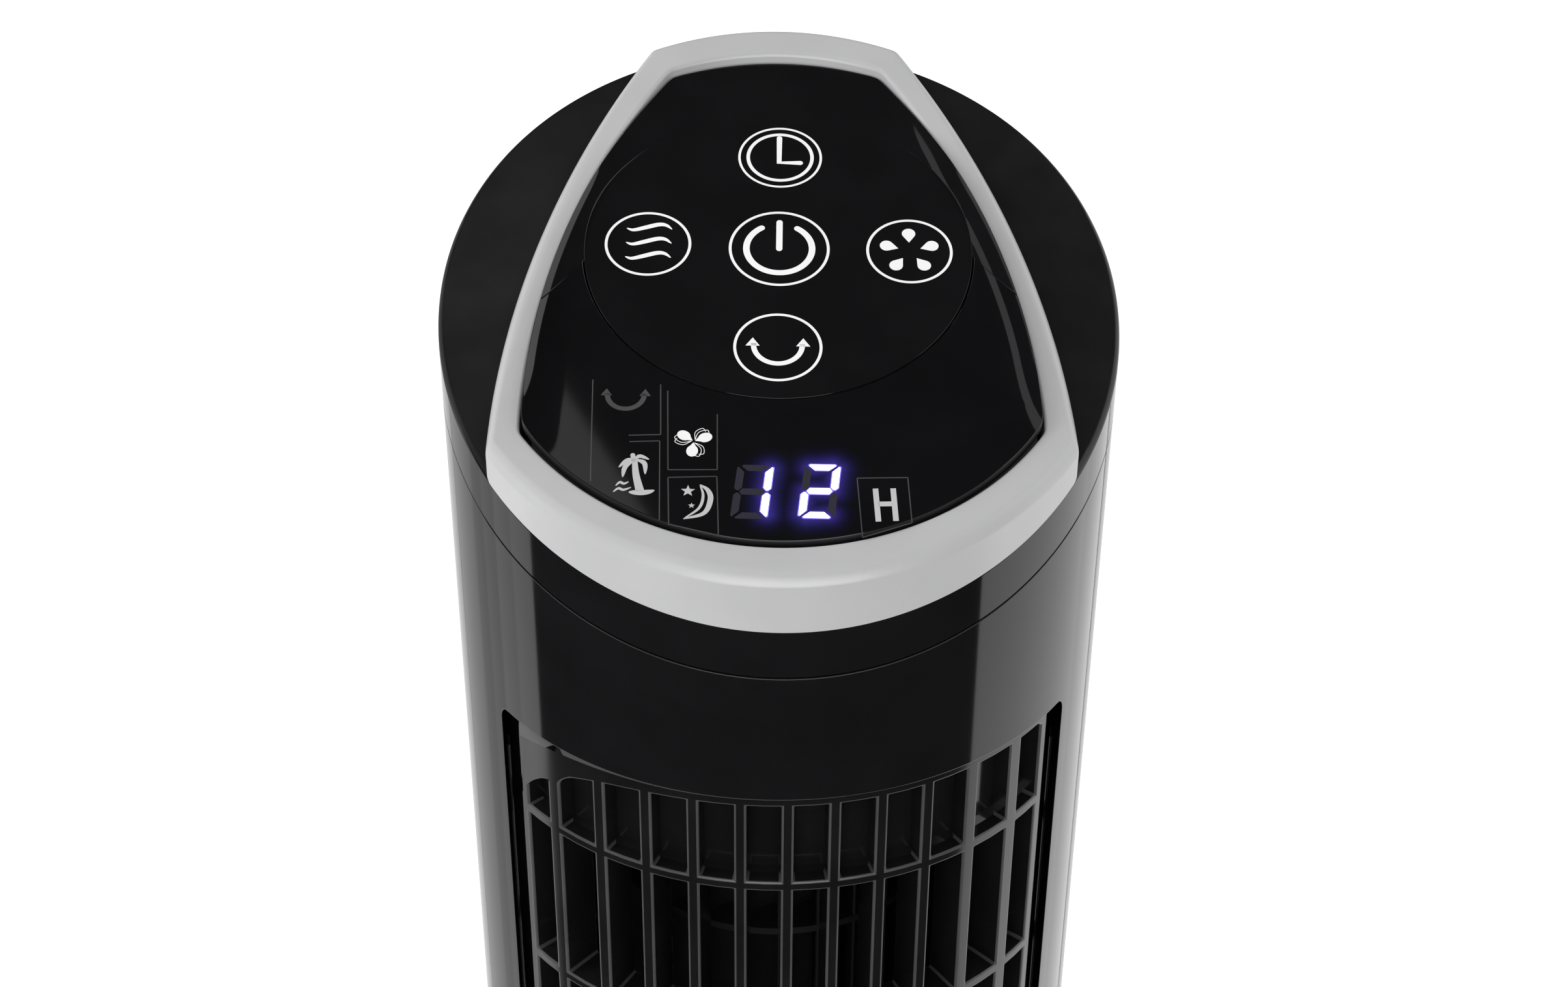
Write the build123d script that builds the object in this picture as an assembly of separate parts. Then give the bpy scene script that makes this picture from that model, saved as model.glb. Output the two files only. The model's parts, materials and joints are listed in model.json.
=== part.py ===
"""Oscillating tower fan: round base, tower body with a slotted outlet grille, cross-flow
impeller driven from below, and a sloping control head with a silver trim frame.

Units are millimetres. +Z is up, the outlet grille faces -Y, and the origin is on the floor
under the middle of the base. Each function returns one sub-part, and the last section
writes them all to parts/NODE.step.
"""
from build123d import *
import math
import os

# ---------------------------------------------------------------- driving dimensions
TOWER_R = 75.0  # outer radius of the tower body
WALL = 2.2  # thickness of the body shells
GAP = 0.3  # clearance between neighbouring mouldings

CAP_Z = 707.0  # height of the sloping head's top surface on the tower axis
CAP_RIM = 13.0  # height of the head's side wall
CAP_SLOPE, CAP_BOW = 0.41, -0.00048  # head top: z = CAP_Z + slope*y + bow*y*y
TRIM_RISE, TRIM_SLOPE, TRIM_BOW = 3.8, 0.361, 0.00042  # top of the silver trim frame
PANEL_RISE, PANEL_SLOPE = 4.9, 0.34  # the flat control panel inside the trim frame

OPEN_TOP, OPEN_BOTTOM = 628.0, 172.0  # the outlet opening in the front shell
OPEN_HALF = 63.0  # half its width, measured across
LINING_BACK_Y = -28.0  # how far back the opening's lining runs
GRILLE_R = 73.6  # outer radius of the grille insert
GRILLE_DEPTH = 10.0
GRILLE_HALF_ANGLE = 54.0
BAR_PITCH, BAR_WIDTH, BARS_EACH_SIDE = 10.3, 2.7, 5
END_GAP = 4.9  # width of the narrow gap at each side of the grille
POCKET_DEPTH, SILL_DEPTH, SILL_TALL = 4.7, 3.1, 1.5  # blind windows of the grille and their ledge
RING_TOP, RING_PITCH, RING_COUNT, RING_HEIGHT = 603.4, 44.5, 10, 2.5

BODY_BOTTOM = 42.0  # lower edge of the tower shells
FLOOR_Z = 44.0  # underside of the tower floor plate
LOW_BULKHEAD_Z, HIGH_BULKHEAD_Z = 196.0, 606.0
BULKHEAD = 3.0  # thickness of both bulkheads
POWER_BOARD_Z = HIGH_BULKHEAD_Z + 18.05

SPIN_Y = 12.0  # the impeller and motor stand behind the tower axis
IMPELLER_R, IMPELLER_LOW, IMPELLER_HIGH = 43.0, 203.0, 600.0
BLADES, IMPELLER_DISCS = 28, 9
SHAFT_R = 4.0

MOTOR_R, MOTOR_LOW, MOTOR_HIGH = 44.0, 122.0, 184.0

BASE_R, BASE_TOP = 115.0, 38.0
FOOT_HEIGHT = 3.0
ENTRY_R, ENTRY_Z = 4.8, 12.2  # hole for the supply lead's bush, in the back of the base
ENTRY_INNER_Y, ENTRY_OUTER_Y = 104.0, 112.6
CORD_R = 3.2  # bore of the bush
POST_R, POST_BORE_R, POST_TOP = 14.0, 9.0, 66.0
GEAR_MODULE, FIXED_TEETH, PINION_TEETH = 1.0, 60, 15
GEAR_LOW, GEAR_HIGH = 50.5, 56.5

DISC_R, DISC_Y, KEY_SPACING = 43.0, 10.0, 29.0  # round key field and its touch keys

BOARD_POSTS = [(-33.0, -48.0), (33.0, -48.0), (-33.0, 18.0), (33.0, 18.0)]  # panel x, v
DIGITS_V = -69.0  # middle of the digit block, down the panel from the key field
KEY_GAP = 0.3  # seam between the key field and the lens
ON_BOARD = -6.4  # top of the control board, below the panel

GEAR_CENTRES = GEAR_MODULE * (FIXED_TEETH + PINION_TEETH) / 2
OSC_LOW, OSC_HIGH, OSC_R = 60.0, 80.0, 21.0  # the geared motor of the swing drive
OSC_Y = GEAR_CENTRES

SHELL_BOSSES = [(side * 62.0, z) for z in (86.0, 190.0, 400.0, 618.0) for side in (-1, 1)]
FAR = 90.0  # beyond the tower's wall on every side
HEAD = (600.0, 800.0)  # a height range that takes in the whole head
BOTTOM = (Align.CENTER, Align.CENTER, Align.MIN)


# ---------------------------------------------------------------- helpers
def disc(radius, low, high, x=0.0, y=0.0):
    return Pos(x, y, low) * Cylinder(radius, high - low, align=BOTTOM)


def tube(outer, inner, low, high, x=0.0, y=0.0):
    return disc(outer, low, high, x, y) - disc(inner, low - 1, high + 1, x, y)


def block(x_low, x_high, y_low, y_high, z_low, z_high):
    centre = Pos((x_low + x_high) / 2, (y_low + y_high) / 2, (z_low + z_high) / 2)
    return centre * Box(x_high - x_low, y_high - y_low, z_high - z_low)


def rod_y(radius, y_low, y_high, x, z):
    """A cylinder lying along Y."""
    return Pos(x, (y_low + y_high) / 2, z) * Rot(90, 0, 0) * Cylinder(radius, y_high - y_low)


def together(pieces):
    """Fuses a list of overlapping or touching solids."""
    return pieces[0] + pieces[1:] if len(pieces) > 1 else pieces[0]


def apart(pieces):
    """Groups separate solids in one node."""
    return Compound(children=[solid for piece in pieces for solid in piece.solids()])


def joined(*curves):
    """One wire from curves that meet end to end."""
    return Wire([edge for curve in curves for edge in curve.edges()])


def below(rise, slope, bow, low=0.0):
    """Everything under the surface z = CAP_Z + rise + slope*y + bow*y*y, down to low."""
    points = []
    for y in (-FAR, 0.0, FAR):
        points.append((-FAR, y, CAP_Z + rise + slope * y + bow * y * y))
    corners = [points[2], (-FAR, FAR, low), (-FAR, -FAR, low), points[0]]
    outline = joined(ThreePointArc(*points), Polyline(*corners))
    return extrude(Face(outline), 2 * FAR, dir=(1, 0, 0))


def below_cap(offset=0.0):
    return below(offset, CAP_SLOPE, CAP_BOW)


def below_panel(offset=0.0):
    nearly_flat = 1e-7
    return below(PANEL_RISE + offset, PANEL_SLOPE, nearly_flat)


def head_outline(front_r, corner_x, side_mid, back_x, corner_radius):
    """Plan of the trim: front and back follow circles about the tower axis, sides bow out."""
    corner = (corner_x, -math.sqrt(front_r**2 - corner_x**2))
    back = (back_x, math.sqrt(front_r**2 - back_x**2))
    mirrored = [(-x, y) for x, y in (corner, side_mid, back)]
    edges = [
        ThreePointArc(mirrored[0], (0, -front_r), corner),
        ThreePointArc(corner, side_mid, back),
        ThreePointArc(back, (0, front_r), mirrored[2]),
        ThreePointArc(mirrored[2], mirrored[1], mirrored[0]),
    ]
    face = Face(joined(*edges))
    return face.fillet_2d(corner_radius, face.vertices())


def trim_outer(inset=0.0):
    return head_outline(TOWER_R - inset, 61.6 - inset, (56.7 - inset, 2.0), 29.0 - inset, 2.5)


def trim_inner(inset=0.0):
    return head_outline(69.3 - inset, 55.3 - inset, (47.3 - inset, 15.0), 24.6 - inset, 3.0)


def upright(face, low, high):
    return extrude(Pos(0, 0, low) * face, high - low, dir=(0, 0, 1))


PANEL = Plane(
    origin=(0, DISC_Y, CAP_Z + PANEL_RISE + PANEL_SLOPE * DISC_Y),
    x_dir=(1, 0, 0),
    z_dir=(0, -PANEL_SLOPE, 1),
)


def on_panel(shape):
    """Places a shape drawn on the flat panel, whose origin is the middle of the key field."""
    return PANEL.location * shape


def screws(places, head_r, head, shank_r, shank):
    """Upright screws; head and shank are each a low and a high z."""
    return apart([disc(head_r, *head, x, y) + disc(shank_r, *shank, x, y) for x, y in places])


def gear(teeth, low, high, bore_r, backlash):
    """Involute spur gear with one tooth centred on +X."""
    pressure = math.radians(20)
    addendum, dedendum = 0.9, 1.2
    pitch_r = GEAR_MODULE * teeth / 2
    base_r = pitch_r * math.cos(pressure)
    tip_r, root_r = pitch_r + addendum * GEAR_MODULE, pitch_r - dedendum * GEAR_MODULE
    half_at_pitch = (math.pi * GEAR_MODULE / 2 - backlash) / 2 / pitch_r

    def involute(angle):
        return math.tan(angle) - angle

    def half_angle(radius):
        reached = math.acos(min(1.0, base_r / radius))
        return half_at_pitch + involute(pressure) - involute(reached)

    def at(radius, angle):
        return (radius * math.cos(angle), radius * math.sin(angle))

    start_r = max(base_r, root_r)
    steps = [start_r + (tip_r - start_r) * i / 3 for i in range(4)]
    right = [at(r, -half_angle(r)) for r in steps]
    left = [at(r, half_angle(r)) for r in reversed(steps)]
    inner = 0.5 * GEAR_MODULE
    foot_low = at(root_r - inner, -half_angle(start_r))
    foot_high = at(root_r - inner, half_angle(start_r))
    tooth = Face(joined(Polyline(foot_low, *right, *left, foot_high, close=True)))
    one = upright(tooth, low, high)
    wheel = disc(root_r, low, high) + [Rot(0, 0, 360 * i / teeth) * one for i in range(teeth)]
    return wheel - disc(bore_r, low - 1, high + 1)


# ---------------------------------------------------------------- base
def dome(inset):
    """The base's outer shape as a solid: upright rim, rounded shoulder, boss under the tower."""
    rim, shoulder, inner = (BASE_R, 16.0), (106.0, 25.5), (84.0, 31.0)
    boss = (79.0, BASE_TOP)
    rim, shoulder, inner, boss = [(r - inset, z - inset) for r, z in (rim, shoulder, inner, boss)]
    foot = (rim[0], FOOT_HEIGHT)
    with BuildSketch(Plane.XZ) as profile:
        with BuildLine():
            Line((0, FOOT_HEIGHT), foot)
            Line(foot, rim)
            ThreePointArc(rim, shoulder, inner)
            Line(inner, boss)
            Line(boss, (0, boss[1]))
            Line((0, boss[1]), (0, FOOT_HEIGHT))
        make_face()
    return revolve(profile.sketch, Axis.Z, 360)


def base_shell():
    """Domed cover of the round base, open below, with a raised boss under the tower."""
    skin = 2.8
    shell = dome(0.0) - (dome(skin) + disc(BASE_R - skin, FOOT_HEIGHT - 1, FOOT_HEIGHT + 1))
    hub = tube(22.0, POST_R + 0.05, 24.0, BASE_TOP - 1)
    posts = [tube(4.5, 1.6, 8.5, 30.0, x, y) for x, y in base_screw_places()]
    posts = [post & dome(1.0) for post in posts]
    shell = shell + hub + posts
    for x, y in post_screw_places():
        shell = shell - disc(1.4, 20.0, BASE_TOP - 4, x, y)
    shell = shell - disc(POST_R + 0.05, 0, 60)
    entry_wall = block(-11, 11, ENTRY_INNER_Y, ENTRY_OUTER_Y, 6.3, 20.0) & dome(0.5)
    recess = block(-8, 8, ENTRY_OUTER_Y, 130, 0, 18.6)
    return shell + entry_wall - recess - rod_y(ENTRY_R, 90, 130, 0, ENTRY_Z)


def on_circle(radius, count, first=0.0, y=0.0):
    """Evenly spaced places on a circle; the first is at an angle in degrees from +X."""
    turns = [math.radians(first + 360 * i / count) for i in range(count)]
    return [(radius * math.cos(a), y + radius * math.sin(a)) for a in turns]


def base_screw_places():
    return on_circle(92.0, 4, 45.0)


def post_screw_places():
    return on_circle(18.0, 4)


def base_plate():
    """Flat cover that closes the base from below, with a stiffening ring."""
    plate = disc(BASE_R - 3.1, 3.5, 6.0) + tube(60, 57, 5.5, 20) + tube(30, 27, 5.5, 14)
    for x, y in base_screw_places():
        plate = plate + disc(6.5, 5.5, 8.2, x, y)
        plate = plate - disc(1.9, 0, 9, x, y) - disc(4.0, 0, 5.2, x, y)
    for x, y in foot_places():
        plate = plate - disc(8.2, 0, 4.6, x, y)
    return plate


def foot_places():
    return on_circle(96.0, 5, 90.0)


def rubber_feet():
    """Five round feet under the base plate."""
    return apart([disc(8.0, 0, 4.5, x, y) for x, y in foot_places()])


def base_screws():
    """Self-tapping screws from below: head in the plate, shank in the shell's posts."""
    return screws(base_screw_places(), 3.4, (3.2, 5.1), 1.5, (5.0, 18.0))


def pivot_post():
    """Hollow post that the tower turns on, screwed up into the base from below."""
    post = disc(POST_R - 0.02, 20.0, POST_TOP) + disc(23.0, 20.5, 23.9)
    post = post - disc(POST_BORE_R, 0, 80)
    for x, y in post_screw_places():
        post = post - disc(1.7, 19, 25, x, y)
    return post - beside_flats(12.6, GEAR_LOW - 0.1, POST_TOP + 1)


def beside_flats(half, low, high):
    """The two regions outside the post's flats, half a width from the axis."""
    reach = 20.0
    return [block(half, reach, -reach, reach, low, high), block(-reach, -half, -reach, reach, low, high)]


def post_screws():
    """Screws that hold the pivot post's flange up against the base."""
    return screws(post_screw_places(), 2.9, (18.4, 20.3), 1.3, (20.2, 33.0))


def fixed_gear():
    """Gear held still on the post by two flats; the drive pinion rolls round it."""
    wheel = gear(FIXED_TEETH, GEAR_LOW, GEAR_HIGH, POST_R + 0.1, 0.2)
    return wheel + flat_keys(GEAR_LOW, GEAR_HIGH)


def flat_keys(low, high):
    """Two segments inside a bore that bear on the post's flats."""
    keys = disc(POST_R + 0.5, low, high) & apart(beside_flats(12.7, low, high))
    return keys.solids()


def gear_clip():
    """Spring steel retainer pushed over the post, so that the tower can't lift off."""
    low, high = GEAR_HIGH + 0.2, GEAR_HIGH + 1.4
    return tube(19.0, POST_R + 0.1, low, high) + flat_keys(low, high)


def slide_ring():
    """Acetal thrust ring between the base boss and the turning tower floor."""
    return tube(62.0, 44.0, BASE_TOP, BASE_TOP + 3.0)


def cord_grommet():
    """Rubber bush in the back of the base, where the supply lead comes in."""
    lip, flange_r = 2.0, ENTRY_R + 1.1
    low, high = ENTRY_INNER_Y - 0.1, ENTRY_OUTER_Y + 0.1
    sleeve = rod_y(ENTRY_R - 0.05, low - lip, high + lip, 0, ENTRY_Z)
    flange = rod_y(flange_r, high, high + lip, 0, ENTRY_Z)
    inside = rod_y(flange_r, low - lip, low, 0, ENTRY_Z)
    return sleeve + flange + inside - rod_y(CORD_R, 90, 130, 0, ENTRY_Z)


def terminal_block():
    """Screw terminals for the supply lead, on the base plate."""
    body = block(-11, 11, 78, 92, 6.0, 20.0)
    for x in (-6.5, 0, 6.5):
        body = body - rod_y(1.7, 70, 100, x, 11.0) - disc(2.2, 15.0, 21.0, x, 85.0)
    return body


# ---------------------------------------------------------------- tower: shells
def rounded_slab(half_width, low, high, radius, y_low, y_high):
    """A slab seen from the front as a rounded rectangle, running along Y."""
    outline = Rot(90, 0, 0) * RectangleRounded(2 * half_width, high - low, radius)
    flat = Pos(0, 0, (low + high) / 2) * outline
    return extrude(Pos(0, y_low, 0) * flat, y_high - y_low, dir=(0, 1, 0))


def body_sleeve():
    """Tower wall from its lower edge up to the sloping joint with the head."""
    return tube(TOWER_R, TOWER_R - WALL, BODY_BOTTOM, HEAD[1]) & below_cap(-CAP_RIM)


def front_shell():
    """Front half of the tower wall, with the outlet opening and its lining."""
    shell = body_sleeve() & block(-FAR, FAR, -FAR, -GAP / 2, 0, HEAD[1])
    lining = rounded_slab(OPEN_HALF + 2.0, OPEN_BOTTOM - 2, OPEN_TOP + 2, 5.0, -FAR, LINING_BACK_Y)
    lining = lining & tube(TOWER_R - 1, TOWER_R - 13, 0, HEAD[1])
    shell = shell + lining
    shell = shell - rounded_slab(OPEN_HALF, OPEN_BOTTOM, OPEN_TOP, 3.5, -FAR, -20)
    for x, z in SHELL_BOSSES:
        web_low, web_high = sorted((x, math.copysign(73.5, x)))
        boss = rod_y(4.2, -16, -GAP / 2, x, z) + block(web_low, web_high, -14, -2, z - 1.2, z + 1.2)
        shell = shell + boss
    for x, z in SHELL_BOSSES:
        shell = shell - rod_y(1.45, -14, 5, x, z)
    return shell


def rear_slots():
    """Upright air inlet slots, all cut straight from the back: a tall field and a motor field."""
    pitch, width, gap = 6.9, 3.9, 3.6
    slots = []
    for first, tall, rows, columns_each_side in ((216.0, 43.0, 8, 5), (94.0, 36.0, 2, 4)):
        for row in range(rows):
            low = first + row * (tall + gap)
            for column in range(-columns_each_side, columns_each_side + 1):
                x = column * pitch
                slots.append(block(x - width / 2, x + width / 2, 20, FAR, low, low + tall))
    return slots


def rear_shell():
    """Back half of the tower wall, with inlet slots and deep pockets for the screws."""
    shell = body_sleeve() & block(-FAR, FAR, GAP / 2, FAR, 0, HEAD[1])
    shell = shell - rear_slots()
    inside = disc(TOWER_R - 0.5, 0, 800)
    for x, z in SHELL_BOSSES:
        shell = shell + (rod_y(5.2, GAP / 2, 60, x, z) & inside)
    for x, z in SHELL_BOSSES:
        shell = shell - rod_y(3.7, 8.0, 90, x, z) - rod_y(1.8, -1, 9, x, z)
    return shell


def shell_screws():
    """Eight long self-tapping screws that hold the two shells together."""
    return apart([rod_y(3.2, 8.0, 10.2, x, z) + rod_y(1.4, -12, 8.1, x, z) for x, z in SHELL_BOSSES])


# ---------------------------------------------------------------- tower: outlet grille
def sector(outer, inner, low, high, half_angle):
    """Part of a tube about the tower axis, centred on the front."""
    reach = 2 * FAR
    a = math.radians(half_angle)
    left, right = [(side * reach * math.sin(a), -reach * math.cos(a)) for side in (-1, 1)]
    wedge = Face(joined(Polyline((0, 0), left, (0, -reach), right, close=True)))
    return tube(outer, inner, low, high) & upright(wedge, low - 1, high + 1)


def window_columns():
    """Left and right edge of every gap between upright bars, the narrow end gaps included."""
    columns = []
    for k in range(-BARS_EACH_SIDE, BARS_EACH_SIDE):
        columns.append((k * BAR_PITCH + BAR_WIDTH / 2, (k + 1) * BAR_PITCH - BAR_WIDTH / 2))
    end = BARS_EACH_SIDE * BAR_PITCH + BAR_WIDTH / 2
    return [(-end - END_GAP, -end)] + columns + [(end, end + END_GAP)]


def window_cut(left, right, low, high):
    """Gap between two upright bars, cut towards the tower's axis."""
    turns = [math.asin(edge / GRILLE_R) for edge in (left, right)]
    ends = [(2 * FAR * math.sin(t), -2 * FAR * math.cos(t)) for t in turns]
    return upright(Face(joined(Polyline((0, 0), *ends, close=True))), low, high)


def front_grille():
    """Outlet grille: upright bars, thin hoops, and blind windows at both ends."""
    low, high = OPEN_BOTTOM + 1.0, OPEN_TOP - 0.6
    body = sector(GRILLE_R, GRILLE_R - GRILLE_DEPTH, low, high, GRILLE_HALF_ANGLE)
    hoops = [RING_TOP - i * RING_PITCH for i in range(RING_COUNT)]
    rows = [(hoops[i + 1], hoops[i] - RING_HEIGHT) for i in range(RING_COUNT - 1)]
    top_row, bottom_row = (hoops[0], high - 2.4), (low + 2.4, hoops[-1] - RING_HEIGHT)
    cuts = []
    for left, right in window_columns():
        cuts += [window_cut(left, right, a, b) for a, b in rows]
    blind = []
    lowered = {0: 13.0, 1: 5.0}  # the two pockets at the left end stop short of the top
    for number, (left, right) in enumerate(window_columns()):
        top = top_row[1] - lowered.get(number, 0.0)
        blind.append(window_cut(left, right, top_row[0], top))
        blind.append(window_cut(left, right, *bottom_row))
    body = body - cuts
    pocket_floor = disc(GRILLE_R - POCKET_DEPTH, 0, HEAD[1])
    body = body - [piece - pocket_floor for piece in blind]
    sills = [sill(hoops[0], 1), sill(hoops[-1] - RING_HEIGHT, -1)]
    flange = sector(GRILLE_R - GRILLE_DEPTH + 0.2, GRILLE_R - GRILLE_DEPTH - 1.6, low, high, 61.0)
    flange = flange - sector(99, 1, low + 1, high - 1, GRILLE_HALF_ANGLE - 0.5) - sills
    side_room = rounded_slab(OPEN_HALF - GAP, low, high, 3.0, -FAR, -20)
    return together([body, *sills, *((flange & side_room).solids())])


def sill(z, way):
    """Bevelled ledge at the inner corner of the blind windows."""
    outer, inner, tall = GRILLE_R - SILL_DEPTH, GRILLE_R - POCKET_DEPTH - 0.2, SILL_TALL
    with BuildSketch(Plane.YZ) as profile:
        with BuildLine():
            Polyline((-outer, z), (-inner, z), (-inner, z + way * tall), (-outer, z), close=True)
        make_face()
    ring = revolve(profile.sketch, Axis.Z, 360)
    return ring & sector(99, 1, z - 9, z + 9, GRILLE_HALF_ANGLE - 0.6)


# ---------------------------------------------------------------- tower: chassis
def bulkhead(z, hole_r):
    """Round partition across the tower, notched for the shell screws' bosses."""
    plate = disc(TOWER_R - WALL - GAP, z, z + BULKHEAD) - disc(hole_r, z - 1, z + 9, 0, SPIN_Y)
    front = block(-FAR, FAR, -FAR, LINING_BACK_Y + 0.5, z - 1, z + 9)
    return plate - (front - disc(GRILLE_R - GRILLE_DEPTH - 2.2, z - 2, z + 10))


def lower_bulkhead():
    """Carries the motor below and the air guides above."""
    plate = bulkhead(LOW_BULKHEAD_Z, 12.0)
    plate = plate - [disc(2.2, 190, 205, x, y) for x, y in motor_bolt_places()]
    notches = [block(x - 5.6, x + 5.6, -17, 80, 190, 204) for x in (-62, 62)]
    return plate - notches


def upper_bulkhead():
    """Carries the top bearing below and the power board above."""
    plate = bulkhead(HIGH_BULKHEAD_Z, 12.2)
    collar = tube(16.0, 12.2, HIGH_BULKHEAD_Z + BULKHEAD - 0.5, HIGH_BULKHEAD_Z + 12, 0, SPIN_Y)
    notches = [block(x - 5.6, x + 5.6, -17, 80, 600, 612) for x in (-62, 62)]
    base, top = HIGH_BULKHEAD_Z + 2, HIGH_BULKHEAD_Z + 18
    posts = [disc(3.2, base, top, x, y) for x, y in power_board_posts()]
    pilots = [disc(1.3, base + 3, top + 2, x, y) for x, y in power_board_posts()]
    return plate - notches + collar + posts - pilots


def tower_floor():
    """Bottom plate of the tower: turns on the post and stands on the slide ring."""
    plate = disc(TOWER_R - WALL - GAP, FLOOR_Z, FLOOR_Z + 3.0)
    runner = tube(60.0, 46.0, BASE_TOP + 3.3, FLOOR_Z + 0.5)
    hub = disc(22.0, BASE_TOP + 1.5, GEAR_LOW - 0.4)
    posts = [disc(3.2, FLOOR_Z + 2, OSC_LOW, x, y) for x, y in osc_bolt_places()]
    plate = plate + runner + hub + posts
    plate = plate - disc(POST_R + 0.05, 0, 80)
    return plate - [disc(1.2, FLOOR_Z + 6, OSC_LOW + 1, x, y) for x, y in osc_bolt_places()]


def scroll_wall():
    """Long curved wall that leads the air round the impeller to the outlet."""
    start, middle, end = (30.0, 46.5), (51.0, 9.0), (52.0, -31.0)
    return guide(joined(ThreePointArc(start, middle, end)))


def tongue_wall():
    """Wall on the other side, ending in a lip close to the impeller."""
    outlet, lip, lip_bend, lip_end = (-52.0, -31.0), (-48.5, 0.0), (-47.8, 4.0), (-50.5, 7.0)
    return guide(joined(Line(outlet, lip), ThreePointArc(lip, lip_bend, lip_end)))


def guide(line):
    """Upright air guide between the bulkheads, with a hair of play at both ends."""
    thick, play = 1.8, 0.1
    low, high = LOW_BULKHEAD_Z + BULKHEAD + play, HIGH_BULKHEAD_Z - play
    return upright(thick_line(line, thick), low, high)


def thick_line(line, thick):
    """Flat face of even width along an open line, with round ends."""
    return Face(line.offset_2d(thick / 2, kind=Kind.ARC, side=Side.BOTH, closed=True))


# ---------------------------------------------------------------- tower: impeller and motor
def impeller():
    """Cross-flow impeller: forward-curved blades through evenly spaced discs."""
    blade_inner, lean, end_thick = 33.0, 0.26, 3.0
    a = (IMPELLER_R - 0.6, 0.0)
    b = (blade_inner * math.cos(lean), blade_inner * math.sin(lean))
    middle = ((a[0] + b[0]) / 2 - 1.9, (a[1] + b[1]) / 2 - 1.2)
    flat = thick_line(joined(ThreePointArc(a, middle, b)), 1.0)
    blade = upright(flat, IMPELLER_LOW + 1, IMPELLER_HIGH - 1)
    blades = [Rot(0, 0, 360 * i / BLADES) * blade for i in range(BLADES)]
    spacing = (IMPELLER_HIGH - IMPELLER_LOW - end_thick) / (IMPELLER_DISCS - 1)
    discs = [disc(IMPELLER_R, z, z + end_thick) for z in (IMPELLER_LOW, IMPELLER_HIGH - end_thick)]
    for i in range(1, IMPELLER_DISCS - 1):
        z = IMPELLER_LOW + i * spacing
        discs.append(tube(IMPELLER_R, blade_inner - 1, z + 0.5, z + 2.5))
    low_hub = disc(11.0, IMPELLER_LOW, IMPELLER_LOW + 20)
    wheel = together(discs + [low_hub] + blades)
    wheel = wheel - disc(SHAFT_R + 0.02, IMPELLER_LOW - 1, IMPELLER_LOW + 19)
    wheel = wheel - rod_y(1.8, 0, 30, 0, IMPELLER_LOW + 12)
    wheel = wheel - disc(SHAFT_R + 0.02, IMPELLER_HIGH - 4, IMPELLER_HIGH + 1)
    return Pos(0, SPIN_Y, 0) * wheel


def hub_screw():
    """Set screw that locks the impeller's hub to the motor shaft."""
    return rod_y(1.7, SPIN_Y + SHAFT_R + 0.15, SPIN_Y + 10.5, 0, IMPELLER_LOW + 12)


def top_journal():
    """Short steel axle at the impeller's upper end."""
    axle = disc(SHAFT_R, IMPELLER_HIGH - 3.8, HIGH_BULKHEAD_Z + 10, 0, SPIN_Y)
    collar = disc(7.0, IMPELLER_HIGH + 0.05, IMPELLER_HIGH + 1.5, 0, SPIN_Y)
    return axle + collar


def top_bearing():
    """Sintered bush that the journal runs in."""
    return tube(7.5, SHAFT_R + 0.05, HIGH_BULKHEAD_Z, HIGH_BULKHEAD_Z + 9, 0, SPIN_Y)


def bearing_rubber():
    """Rubber cushion between the top bush and the bulkhead's collar."""
    return tube(12.1, 7.6, HIGH_BULKHEAD_Z, HIGH_BULKHEAD_Z + 9, 0, SPIN_Y)


def motor_bolt_places():
    return on_circle(34.0, 4, 45.0, SPIN_Y)


def motor_bell(low, high, closed_low):
    """Pressed end bell of the motor, with a bearing seat in the middle."""
    bell = disc(MOTOR_R, low, high, 0, SPIN_Y)
    inner = (low + 2.0, high + 1) if closed_low else (low - 1, high - 2.0)
    bell = bell - disc(MOTOR_R - 2.0, *inner, 0, SPIN_Y)
    seat = (low - 4, low + 8) if closed_low else (high - 8, high + 4)
    bell = bell + disc(13.0, *seat, 0, SPIN_Y) - disc(9.1, seat[0] - 1, seat[1] + 1, 0, SPIN_Y)
    vents = []
    for i in range(8):
        vent = block(20, 35, -3, 3, low - 2, high + 2) & tube(36, 18, low - 3, high + 3)
        vents.append(Pos(0, SPIN_Y, 0) * Rot(0, 0, 22.5 + 45 * i) * vent)
    wall = (low - 1, low + 2.5) if closed_low else (high - 2.5, high + 1)
    return bell - [vent & disc(40, *wall, 0, SPIN_Y) for vent in vents]


def motor_lower_bell():
    return motor_bell(MOTOR_LOW, MOTOR_LOW + 20, True)


def motor_upper_bell():
    bell = motor_bell(MOTOR_HIGH - 20, MOTOR_HIGH, False)
    return bell - [disc(2.0, MOTOR_HIGH - 5, MOTOR_HIGH + 5, x, y) for x, y in motor_bolt_places()]


def motor_stator():
    """Laminated iron ring clamped between the end bells."""
    ring = tube(MOTOR_R - 0.5, 24.0, MOTOR_LOW + 20.1, MOTOR_HIGH - 20.1)
    slots = [Rot(0, 0, 45 * i) * block(25.5, 36, -5, 5, 0, 300) for i in range(8)]
    mouths = [Rot(0, 0, 45 * i) * block(20, 27, -1.4, 1.4, 0, 300) for i in range(8)]
    return Pos(0, SPIN_Y, 0) * (ring - slots - mouths)


def motor_windings():
    """Copper coils in the stator's slots, with end turns above and below."""
    coil = block(26.2, 35.3, -4.4, 4.4, MOTOR_LOW + 13, MOTOR_HIGH - 13)
    return apart([Pos(0, SPIN_Y, 0) * Rot(0, 0, 45 * i) * coil for i in range(8)])


def motor_rotor():
    """Squirrel-cage rotor on the motor shaft."""
    return tube(23.4, SHAFT_R + 0.01, MOTOR_LOW + 20, MOTOR_HIGH - 20, 0, SPIN_Y)


def motor_shaft():
    """Ground steel shaft that carries the rotor and the impeller's lower hub."""
    return disc(SHAFT_R, MOTOR_LOW - 3, IMPELLER_LOW + 17, 0, SPIN_Y)


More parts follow.
